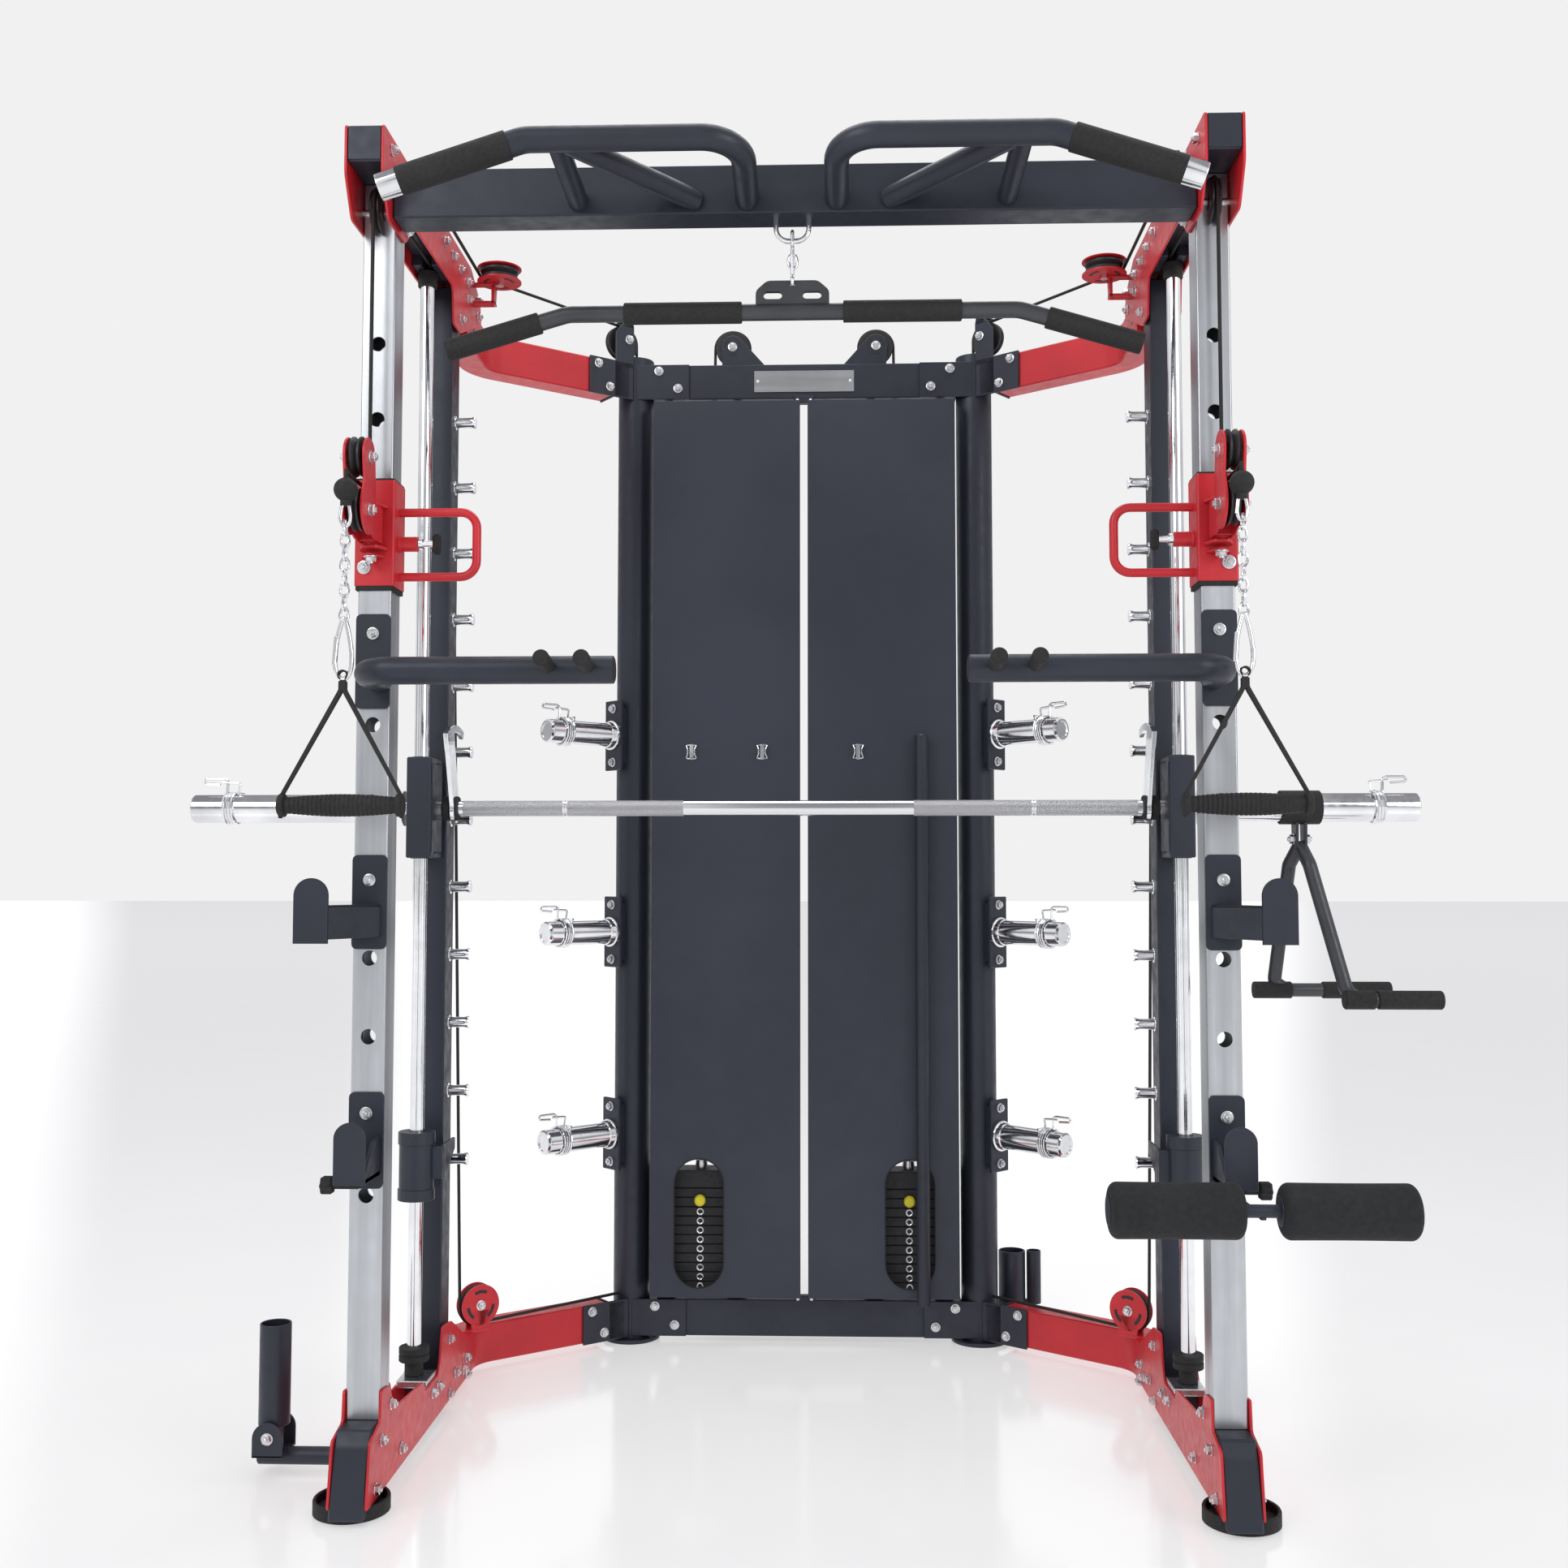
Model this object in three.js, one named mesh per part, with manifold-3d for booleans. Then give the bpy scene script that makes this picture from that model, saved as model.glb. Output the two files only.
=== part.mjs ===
// Smith machine with two cable columns. Millimetres, +Z up, +X to the right of
// a person who faces the machine, +Y towards its back. Left and right sides are
// mirror images and are built by the same functions with s = -1 or s = 1.
import * as THREE from 'three';
import { mergeVertices } from 'three/addons/utils/BufferGeometryUtils.js';
import Module from 'manifold-3d';

const wasm = await Module();
wasm.setup();

// ---- Driving dimensions: clearances ----
const touchGap = 0.3; // between pieces that rest on each other
const runGap = 1.5; // radial play of a sliding or turning piece
const weldLap = 1.0; // depth by which welded members run into each other

// ---- Side frames ----
const frameHalf = 662; // middle plane of each side frame, from the centre
const tubeSize = 53; // square tube of the uprights, beams and arms
const tubeWall = 3;
const plateThick = 4; // red side plates
const frameTop = 2131; // top edge of the side plates
const beamHigh = 58; // height of the top side beam
const beamFront = -90; // front end of the top side beam
const beamBack = 480;
const footTop = 130; // where the front upright stands on the foot
const holePitch = 122;
const firstHole = 471;
const holeCount = 12;
const holeDiameter = 24;
const rearUprightFront = 400;
const rearUprightDeep = 60;
const pegPitch = 123;
const firstPeg = 453.5;
const pegCount = 12;
const pegDiameter = 19;
const pegLong = 40;
const armHigh = 75;
const armTop = 2060;
const armBaseTop = 88;
const armBend = 95; // centre-line radius where an arm turns to its column
const armStart = 500;
const armEndGap = 76; // an arm ends this far from its column's axis

// ---- Guide rods and bar ----
const rodY = 326;
const rodDiameter = 25;
const rodBottom = 101;
const barY = 366;
const barDrop = 105.5; // bar centre below the peg that its hook reaches
const barPeg = 6; // counted from the lowest peg
const barDiameter = 28;
const sleeveDiameter = 50;
const barHalf = 1090;
const sleeveStart = frameHalf + 44;
const hookForward = 20; // degrees the hook is turned clear of its peg
const carrierHigh = 178;
const stopperHigh = 118;
const stopperBottom = 401;

// ---- Rear columns, crossbars and weight stacks ----
const columnX = 364;
const columnY = 925;
const columnDiameter = 76;
const columnTop = 2078;
const crossFront = columnY - 33;
const crossDeep = 50;
const stackX = 217;
const stackWide = 190;
const stackDeep = 66;
const guideOffset = 74; // stack guide rods, either side of the stack middle
const guideDiameter = 20;
const plateHigh = 19; // one weight plate
const lowerPlates = 9;
const bumperHigh = 20; // rubber stop under the stack
const headHigh = 74; // head plate and the two plates pinned to it
const shroudFront = 848;
const shroudSheet = 2;
const columnWall = 4;
const armTurn = 37.8; // degrees between an arm's end stretch and the crossbars
const columnWheelZ = 2112;
const hornHeights = [1262, 848, 428];

const noseX = 154; // crossbar pulley, from the centre
const noseZ = 2102;
const grooveRadius = 33; // bottom of a cable groove
const cableLift = 1.2; // room between a groove and the flats of its cable
const baseWheelReach = 372; // along the arm, from the column's axis
const baseWheelSide = -43; // off the arm's middle plane, inwards
const baseWheelUp = 46; // above the base arm

// ---- Cable carriage on each front upright ----
const carriageBottom = 1420;
const carriageHigh = 172;
const carriageWall = 4;
const wheelRadius = 42;
const wheelWide = 20;
const upperWheelZ = 1606;
const lowerWheelZ = 1524;
const wheelY = -92;
const cableDiameter = 6;
const topWheelZ = 2026;
const topWheelY = 0;

// ---- Pull-up beam, bars and attachments ----
const crossbeamHigh = 78;
const crossbeamTop = 2080;
const crossbeamBack = 20;
const crossbeamDeep = 60;
const pullTube = 38;
const latHalf = 545;
const latZ = 1853;
const latY = -12;
const dipZ = 1274;
const dipTube = 42;
const dipEnd = 265; // inner end of each dip arm
const rollerRadius = 40;

const red = new THREE.MeshStandardMaterial({ color: 0xb5222e, roughness: 0.45, metalness: 0.1 });
const black = new THREE.MeshStandardMaterial({ color: 0x2c2e36, roughness: 0.5, metalness: 0.2 });
const steel = new THREE.MeshStandardMaterial({ color: 0xb9bcc4, roughness: 0.35, metalness: 0.9 });
const chrome = new THREE.MeshStandardMaterial({ color: 0xe3e5ea, roughness: 0.12, metalness: 1.0 });
const rubber = new THREE.MeshStandardMaterial({ color: 0x151516, roughness: 0.8, metalness: 0.0 });
const yellow = new THREE.MeshStandardMaterial({ color: 0xd6c92a, roughness: 0.4, metalness: 0.0 });

// ---- Solids ----
function solid(geometry) {
  const bare = geometry.index ? geometry : geometry.clone();
  bare.deleteAttribute('normal');
  bare.deleteAttribute('uv');
  const merged = mergeVertices(bare, 1e-3);
  return new wasm.Manifold(new wasm.Mesh({
    numProp: 3,
    vertProperties: new Float32Array(merged.attributes.position.array),
    triVerts: new Uint32Array(merged.index.array),
  }));
}

function join(pieces) {
  return pieces.reduce((whole, piece) => whole.add(piece));
}

function cut(whole, tools) {
  return tools.reduce((rest, tool) => rest.subtract(tool), whole);
}

function box(x0, x1, y0, y1, z0, z1) {
  const geometry = new THREE.BoxGeometry(Math.abs(x1 - x0), Math.abs(y1 - y0), Math.abs(z1 - z0));
  geometry.translate((x0 + x1) / 2, (y0 + y1) / 2, (z0 + z1) / 2);
  return solid(geometry);
}

// A round bar between two points; its flats face the axes when sides divides by four.
function rod(from, to, radius, sides = 12) {
  return turned(from, to, [[0, radius], [1, radius]], sides);
}

// A turned piece: profile rows are [share of the length, radius].
function turned(from, to, profile, sides = 12) {
  const start = new THREE.Vector3(...from);
  const along = new THREE.Vector3(...to).sub(start);
  const length = along.length();
  const points = [new THREE.Vector2(0, profile[0][0] * length)];
  profile.forEach(([share, radius]) => points.push(new THREE.Vector2(radius, share * length)));
  points.push(new THREE.Vector2(0, profile[profile.length - 1][0] * length));
  const geometry = new THREE.LatheGeometry(points, sides, Math.PI / sides);
  const turn = new THREE.Quaternion().setFromUnitVectors(new THREE.Vector3(0, 1, 0), along.normalize());
  geometry.applyQuaternion(turn);
  geometry.translate(start.x, start.y, start.z);
  return solid(geometry);
}

function outline(points) {
  return new THREE.Shape(points.map(([a, b]) => new THREE.Vector2(a, b)));
}

// A flat plate whose outline is given in Y and Z, between two X planes.
function plateYZ(points, x0, x1) {
  const geometry = new THREE.ExtrudeGeometry(outline(points), { depth: Math.abs(x1 - x0), bevelEnabled: false });
  const axes = new THREE.Matrix4().set(0, 0, 1, 0, 1, 0, 0, 0, 0, 1, 0, 0, 0, 0, 0, 1);
  geometry.applyMatrix4(axes);
  geometry.translate(Math.min(x0, x1), 0, 0);
  return solid(geometry);
}

// A flat plate whose outline is given in X and Z, between two Y planes.
function plateXZ(points, y0, y1) {
  const geometry = new THREE.ExtrudeGeometry(outline(points), { depth: Math.abs(y1 - y0), bevelEnabled: false });
  geometry.rotateX(Math.PI / 2);
  geometry.translate(0, Math.max(y0, y1), 0);
  return solid(geometry);
}

// A flat plate whose outline is given in X and Y, between two heights.
function plateXY(points, z0, z1) {
  const geometry = new THREE.ExtrudeGeometry(outline(points), { depth: Math.abs(z1 - z0), bevelEnabled: false });
  geometry.translate(0, 0, Math.min(z0, z1));
  return solid(geometry);
}

// A path through chosen points, drawn straight between them.
class StraightRoute extends THREE.Curve {
  constructor(points) {
    super();
    this.points = points;
  }

  getPointAt(u) {
    const last = this.points.length - 1;
    const place = Math.min(u * last, last - 1e-9);
    const step = Math.floor(place);
    return this.points[step].clone().lerp(this.points[step + 1], place - step);
  }

  getTangentAt(u) {
    const last = this.points.length - 1;
    const here = Math.round(u * last);
    const before = this.points[Math.max(here - 1, 0)];
    const after = this.points[Math.min(here + 1, last)];
    const into = this.points[here].clone().sub(before).normalize();
    const out = after.clone().sub(this.points[here]).normalize();
    return into.add(out).normalize();
  }
}

// Corner points turned into arcs of a bend radius.
function bendCorners(corners, radius, arcSteps) {
  const points = corners.map((corner) => new THREE.Vector3(...corner));
  const route = [points[0]];
  for (let i = 1; i < points.length - 1; i += 1) {
    const back = points[i - 1].clone().sub(points[i]).normalize();
    const ahead = points[i + 1].clone().sub(points[i]).normalize();
    const halfAngle = back.angleTo(ahead) / 2;
    const reach = radius / Math.tan(halfAngle);
    const middle = back.clone().add(ahead).normalize().multiplyScalar(radius / Math.sin(halfAngle));
    const centre = points[i].clone().add(middle);
    const from = points[i].clone().addScaledVector(back, reach).sub(centre);
    const to = points[i].clone().addScaledVector(ahead, reach).sub(centre);
    const sweep = from.angleTo(to);
    for (let k = 0; k <= arcSteps; k += 1) {
      const t = k / arcSteps;
      const a = Math.sin((1 - t) * sweep) / Math.sin(sweep);
      const b = Math.sin(t * sweep) / Math.sin(sweep);
      route.push(centre.clone().addScaledVector(from, a).addScaledVector(to, b));
    }
  }
  route.push(points[points.length - 1]);
  return route;
}

function tube(corners, radius, bendRadius, sides = 10, arcSteps = 4) {
  const route = bendCorners(corners, bendRadius, arcSteps);
  const section = new THREE.Shape();
  for (let i = 0; i < sides; i += 1) {
    const angle = (2 * Math.PI * (i + 0.5)) / sides;
    const point = new THREE.Vector2(radius * Math.cos(angle), radius * Math.sin(angle));
    if (i === 0) section.moveTo(point.x, point.y);
    else section.lineTo(point.x, point.y);
  }
  const geometry = new THREE.ExtrudeGeometry(section, {
    steps: route.length - 1,
    extrudePath: new StraightRoute(route),
    bevelEnabled: false,
  });
  return solid(geometry);
}

function arcPoints(centre, radius, startDegrees, endDegrees, steps) {
  const points = [];
  for (let i = 0; i <= steps; i += 1) {
    const angle = THREE.MathUtils.degToRad(startDegrees + ((endDegrees - startDegrees) * i) / steps);
    points.push([centre[0] + radius * Math.cos(angle), centre[1] + radius * Math.sin(angle)]);
  }
  return points;
}

const station = new THREE.Group();

function add(name, whole, material) {
  const mesh = whole.getMesh();
  const geometry = new THREE.BufferGeometry();
  geometry.setAttribute('position', new THREE.BufferAttribute(new Float32Array(mesh.vertProperties), 3));
  geometry.setIndex(new THREE.BufferAttribute(new Uint32Array(mesh.triVerts), 1));
  const piece = new THREE.Mesh(geometry, material);
  piece.name = name;
  station.add(piece);
}

// ---- Places worked out from the dimensions ----
const halfTube = tubeSize / 2;
const innerFace = frameHalf - halfTube; // inner side of a side-frame tube
const outerFace = frameHalf + halfTube;
const beamBottom = frameTop - beamHigh;
const pegY = rearUprightFront + rearUprightDeep / 2;
const pegZ = (index) => firstPeg + index * pegPitch;
const barZ = pegZ(barPeg) - barDrop;
const rodX = frameHalf + 6;
const rodTop = beamBottom - 20;
const crossBack = crossFront + crossDeep;
const columnRadius = columnDiameter / 2;
const stackY = crossFront + crossDeep / 2;
const stackBottom = armBaseTop + bumperHigh + touchGap;
const cableReach = grooveRadius + cableDiameter / 2 + cableLift; // wheel centre to cable centre
const cableSplitZ = topWheelZ - 6; // where the moving stretch meets the fixed one
const frameCableLow = armBaseTop + baseWheelUp - cableReach; // cable height along the base arm
const armCos = Math.cos(THREE.MathUtils.degToRad(armTurn));
const armSin = Math.sin(THREE.MathUtils.degToRad(armTurn));
const headBottom = stackBottom + lowerPlates * plateHigh + touchGap;
const headTop = headBottom + headHigh;

function frontUpright(s) {
  const top = beamBottom - touchGap;
  const shell = box(s * innerFace, s * outerFace, 0, tubeSize, footTop + touchGap, top);
  const hollow = box(s * (innerFace + tubeWall), s * (outerFace - tubeWall), tubeWall,
    tubeSize - tubeWall, footTop - 1, top + 1);
  const wheelRoom = box(s * (innerFace - 1), s * (outerFace + 1), -1, topWheelY + wheelRadius + 3,
    topWheelZ - wheelRadius - 2, top + 1);
  const cableSlot = box(s * (frameHalf - 8), s * (frameHalf + 8), 40, tubeSize + 1, topWheelZ + 14, top + 1);
  const holes = [];
  for (let i = 0; i < holeCount; i += 1) {
    const z = firstHole + i * holePitch;
    holes.push(rod([s * frameHalf, -1, z], [s * frameHalf, tubeSize + 1, z], holeDiameter / 2, 8));
  }
  return cut(shell, [hollow, wheelRoom, cableSlot, ...holes]);
}

function rearUpright(s) {
  const inner = innerFace + 4.5;
  const top = topWheelZ + wheelRadius - 14;
  const post = box(s * inner, s * (outerFace - touchGap), rearUprightFront, rearUprightFront + rearUprightDeep,
    armBaseTop - 62, top);
  const pegs = [];
  for (let i = 0; i < pegCount; i += 1) {
    const profile = [[0, pegDiameter / 2], [0.72, pegDiameter / 2], [1, pegDiameter / 2 + 2]];
    const from = [s * (inner + weldLap), pegY, pegZ(i)];
    pegs.push(turned(from, [s * (inner - pegLong), pegY, pegZ(i)], profile, 8));
  }
  return join([post, ...pegs]);
}

function guideRod(s) {
  const r = rodDiameter / 2;
  const length = rodTop - rodBottom;
  const at = (z) => (z - rodBottom) / length;
  const profile = [
    [0, 16], [at(rodBottom + 24), 16], [at(rodBottom + 24), 26], [at(rodBottom + 48), 26],
    [at(rodBottom + 48), r], [at(rodTop - 28), r], [at(rodTop - 28), 17], [1, 17],
  ];
  return turned([s * rodX, rodY, rodBottom], [s * rodX, rodY, rodTop], profile, 16);
}

const plateBack = columnY - (frameHalf - columnX) * (armSin / armCos) - 94; // before the arm's bend
const topPlateOutline = [
  [beamFront - 2, frameTop], [beamFront - 2, frameTop - 78], [-55, topWheelZ - 34],
  [42, topWheelZ - 34], [100, beamBottom - 30], [368, beamBottom - 30], [378, armTop - 84],
  [430, armTop - 84], [plateBack, armTop - 12], [plateBack - 10, frameTop - 40], [508, frameTop],
];

const basePlateOutline = [
  [-79, 22], [-62, 118], [-9, footTop], [-4, 176], [44, 170], [64, 127], [250, 112], [262, 92],
  [352, 92], [366, 112], [381, 168], [447, 160], [plateBack - 12, 90], [plateBack, 22],
];

// Both plates of one side, the top beam between them, the bent arm to the column,
// the rod's socket block, the front pulley on its axle and the corner pulley.
function topFrame(s) {
  const plates = [
    plateYZ(topPlateOutline, s * (innerFace - touchGap - plateThick), s * (innerFace - touchGap)),
    plateYZ(topPlateOutline, s * (outerFace + touchGap), s * (outerFace + touchGap + plateThick)),
  ];
  const across = innerFace - touchGap - weldLap;
  const acrossOut = outerFace + touchGap + weldLap;
  const beam = box(s * across, s * acrossOut, beamFront, beamBack, beamBottom, frameTop - 1);
  const block = box(s * across, s * acrossOut, rodY - 34, rodY + 40, rodTop + touchGap, beamBottom + weldLap);
  const groove = box(s * (frameHalf - 8), s * (frameHalf + 8), rodY - 36, rodY + 42, topWheelZ + 16,
    beamBottom);
  const axle = rod([s * across, topWheelY, topWheelZ], [s * acrossOut, topWheelY, topWheelZ], 6, 8);
  const wheel = rod([s * (frameHalf - 9), topWheelY, topWheelZ], [s * (frameHalf + 9), topWheelY, topWheelZ],
    grooveRadius, 16);
  const arm = plateXY(armOutline(s), armTop - armHigh, armTop);
  const armBolts = box(s * across, s * acrossOut, armStart + 20, armStart + 60, armTop - 40, armTop - 10);
  const anchor = box(s * (innerFace - touchGap - 2), s * (cornerWheelX + cableReach - 7), 30, 50,
    cornerWheelZ - 9, cornerWheelZ + 9);
  return join([...plates, beam, cut(block, [groove]), axle, wheel, arm, armBolts, anchor, cornerPulley(s)]);
}

const cornerWheelX = innerFace - 58;
const cornerWheelY = 512;
const cornerWheelZ = frameTop - 14;

function cornerPulley(s) {
  const disc = (z0, z1, radius) => rod([s * cornerWheelX, cornerWheelY, z0],
    [s * cornerWheelX, cornerWheelY, z1], radius, 16);
  const low = disc(cornerWheelZ - 15, cornerWheelZ - 11, wheelRadius);
  const wheel = disc(cornerWheelZ - 12, cornerWheelZ + 12, grooveRadius);
  const high = disc(cornerWheelZ + 11, cornerWheelZ + 14, wheelRadius);
  const shelf = box(s * (cornerWheelX + 6), s * (innerFace - touchGap - 1), cornerWheelY - 4, cornerWheelY + 16,
    cornerWheelZ - 18, cornerWheelZ - 14);
  const post = box(s * (cornerWheelX + 10), s * (cornerWheelX + 16), cornerWheelY + 2, cornerWheelY + 26,
    armTop + 4, cornerWheelZ - 14);
  const tab = box(s * (cornerWheelX + 10), s * (innerFace - touchGap - 1), cornerWheelY + 2, cornerWheelY + 26,
    armTop + 4, armTop + 9);
  return join([low, wheel, high, shelf, post, tab]);
}

// A point given along an arm from its column's axis and sideways from its middle plane.
function armPoint(s, along, side, z) {
  return [s * (columnX + along * armCos + side * armSin), columnY - along * armSin + side * armCos, z];
}

// Plan of an arm: straight inside the side plates, then bent towards its column.
function armOutline(s) {
  const reach = (frameHalf - columnX) / armCos;
  const corners = [
    [s * frameHalf, armStart, 0],
    [s * frameHalf, columnY - reach * armSin, 0],
    armPoint(s, armEndGap, 0, 0),
  ];
  const route = bendCorners(corners, armBend, 5);
  const inner = [];
  const outer = [];
  route.forEach((point, i) => {
    const before = route[Math.max(i - 1, 0)];
    const after = route[Math.min(i + 1, route.length - 1)];
    const along = after.clone().sub(before).normalize();
    inner.push([point.x - along.y * halfTube, point.y + along.x * halfTube]);
    outer.push([point.x + along.y * halfTube, point.y - along.x * halfTube]);
  });
  return [...inner, ...outer.reverse()];
}

// Base arm with a red pulley standing on its bend; drawn on the right.
function baseArm(s) {
  const arm = plateXY(armOutline(1), armBaseTop - armHigh, armBaseTop);
  const t = baseWheelReach;
  const n = baseWheelSide;
  const z = armBaseTop + baseWheelUp;
  const disc = (n0, n1, radius) => rod([t, n + n0, z], [t, n + n1, z], radius, 14);
  const lugs = [-14, 10].map((side) => box(t - 18, t + 18, n + side, n + side + 4, armBaseTop - 3, z - 16));
  const pulley = join([
    disc(-14, -10, wheelRadius - 3), disc(-11, 11, grooveRadius), disc(10, 14, wheelRadius - 3), ...lugs,
    box(t - 20, t + 40, n - 15, n + 44, armBaseTop - 4, armBaseTop + 2),
  ]);
  const whole = join([arm, inArmLine(pulley)]);
  return s < 0 ? whole.mirror([1, 0, 0]) : whole;
}

// Side plates at the floor, the foot between them and the rod's lower block.
function baseFrame(s) {
  const plates = [
    plateYZ(basePlateOutline, s * (innerFace - touchGap - plateThick), s * (innerFace - touchGap)),
    plateYZ(basePlateOutline, s * (outerFace + touchGap), s * (outerFace + touchGap + plateThick)),
  ];
  const across = innerFace - touchGap - weldLap;
  const acrossOut = outerFace + touchGap + weldLap;
  const footOutline = [[-84, 8], [-57, 108], [-43, footTop], [tubeSize, footTop], [tubeSize, 80], [26, 8]];
  const foot = plateYZ(footOutline, s * across, s * acrossOut);
  const block = box(s * across, s * acrossOut, rodY - 40, rodY + 30, rodBottom - 12, rodBottom - touchGap);
  const blockEnd = box(s * across, s * acrossOut, rodY + 24, rodY + 34, rodBottom - 60, rodBottom - touchGap);
  const disc = rod([s * (frameHalf + 10), -16, 0], [s * (frameHalf + 10), -16, 9], 58, 24);
  const ring = cut(rod([s * (frameHalf + 10), -16, 8], [s * (frameHalf + 10), -16, 22], 58, 24),
    [rod([s * (frameHalf + 10), -16, 7], [s * (frameHalf + 10), -16, 23], 52, 24)]);
  const pieces = [...plates, foot, block, blockEnd, disc, ring];
  if (s < 0) pieces.push(...landmineArm());
  return join(pieces);
}

const landmineX = -frameHalf - 184;
const landmineY = 136;
const landminePivotZ = 64;

// Fixed arm at floor height that carries the fork of the bar holder.
function landmineArm() {
  const arm = rod([-outerFace - touchGap - 2, landmineY, 28], [landmineX - 24, landmineY, 28], 14, 12);
  const forkPlate = (y0, y1) => plateXZ([
    [landmineX - 25, 34], [landmineX + 25, 34], ...arcPoints([landmineX, landminePivotZ], 25, 0, 180, 6),
  ], y0, y1);
  const floor = box(landmineX - 25, landmineX + 25, landmineY - 33, landmineY + 33, 34, 38);
  return [arm, forkPlate(landmineY - 33, landmineY - 28), forkPlate(landmineY + 28, landmineY + 33), floor];
}

// The bar holder's tube, closed at its lower end by the pivot ears.
function landmineTube() {
  const bottom = landminePivotZ + 14;
  const top = 239;
  const outer = rod([landmineX, landmineY, bottom], [landmineX, landmineY, top], 25, 16);
  const bore = rod([landmineX, landmineY, bottom + 14], [landmineX, landmineY, top + 1], 22, 16);
  const ear = plateYZ([
    [landmineY - 16, bottom + 4], [landmineY - 16, landminePivotZ - 12], [landmineY + 16, landminePivotZ - 12],
    [landmineY + 16, bottom + 4],
  ], landmineX - 12, landmineX + 12);
  return cut(join([outer, ear]), [bore]);
}

// The column is built on the right; the left one is its mirror image.
function column(s) {
  const post = cut(rod([columnX, columnY, 4], [columnX, columnY, columnTop], columnRadius, 16),
    [rod([columnX, columnY, 14], [columnX, columnY, columnTop + 1], columnRadius - columnWall, 16)]);
  const foot = rod([columnX, columnY, 0], [columnX, columnY, 8], 59, 20);
  const cableHole = inArmLine(box(0, columnRadius + 4, -14, 6, frameCableLow - 8, frameCableLow + 8));
  const pieces = [cut(post, [cableHole]), foot];
  [armTop - armHigh, armBaseTop - armHigh].forEach((low) => {
    pieces.push(armFlange(low));
    pieces.push(crossFlange(low));
  });
  hornHeights.forEach((z) => pieces.push(...storageHorn(z)));
  pieces.push(topBracket());
  if (s > 0) pieces.push(...barCups());
  const whole = join(pieces);
  return s < 0 ? whole.mirror([1, 0, 0]) : whole;
}

// Puts a piece drawn along +X from the column's axis into the line of the arm.
function inArmLine(piece) {
  return piece.rotate([0, 0, -armTurn]).translate([columnX, columnY, 0]);
}

// Plate on the arm's inner side and the stub that the arm's end butts on.
function armFlange(low) {
  const inner = -halfTube - touchGap;
  const plate = box(columnRadius - 12, 132, inner - 5, inner, low - 2, low + armHigh + 2);
  const end = box(armEndGap - touchGap - 5, armEndGap - touchGap, inner - 1, -inner, low - 2, low + armHigh + 2);
  const rib = box(columnRadius - 2, armEndGap - 4, inner - 5, inner + 4, low, low + armHigh);
  return inArmLine(join([plate, end, rib]));
}

// Plate on the column's inner side that the crossbar bolts to.
function crossFlange(low) {
  return box(columnX - 118, columnX - 4, crossFront - touchGap - 5, crossFront - touchGap, low, low + armHigh);
}

// Chrome horn on a bracket that points out and forwards.
function storageHorn(z) {
  const bracket = box(columnRadius - 6, 52, -16, 16, z - 60, z + 60);
  const plate = box(51, 58, -27, 27, z - 74, z + 74);
  const horn = turned([56, 0, z], [228, 0, z], [
    [0, 31], [0.04, 31], [0.06, sleeveDiameter / 2 + 2], [0.12, sleeveDiameter / 2], [0.97, sleeveDiameter / 2],
    [1, sleeveDiameter / 2 - 4],
  ], 12);
  return [bracket, plate, horn].map((piece) => piece.rotate([0, 0, -45]).translate([columnX, columnY, 0]));
}

// Wheel over the column's open end, held by a plate that rises from the arm's flange.
function topBracket() {
  const inner = -halfTube - touchGap;
  const wheel = rod([cableReach, -9, columnWheelZ], [cableReach, 9, columnWheelZ], grooveRadius, 16);
  const axle = rod([cableReach, inner - 8, columnWheelZ], [cableReach, 12, columnWheelZ], 7, 8);
  const plate = plateXZ([
    [cableReach - 12, armTop - 10], [cableReach + 32, armTop - 10], [cableReach + 32, columnWheelZ + 12],
    [cableReach + 16, columnWheelZ + 34], [cableReach - 8, columnWheelZ + 44],
    [cableReach - 12, columnWheelZ + 30],
  ], inner - 5, inner);
  const hood = box(cableReach - 10, cableReach + 12, inner - 1, 14, columnWheelZ + 41, columnWheelZ + 44);
  const web = box(cableReach - 10, cableReach + 12, inner - 5, inner, columnWheelZ + 26, columnWheelZ + 44);
  return inArmLine(join([wheel, axle, plate, hood, web]));
}

const cupX = columnX + 74;
const cupY = columnY + 60;

// Two open tubes behind the right column that hold loose bars upright.
function barCups() {
  const open = (x, radius, bore, top) => cut(rod([x, cupY, 62], [x, cupY, top], radius, 12),
    [rod([x, cupY, 70], [x, cupY, top + 1], bore, 12)]);
  const shelf = box(columnX + 4, cupX + 10, columnY + 18, cupY + 6, 62, 70);
  return [open(cupX, 28, 25, 172), open(cupX + 46, 15, 12.5, 172), shelf,
    box(cupX + 20, cupX + 40, cupY - 6, cupY + 6, 62, 70)];
}

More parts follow.
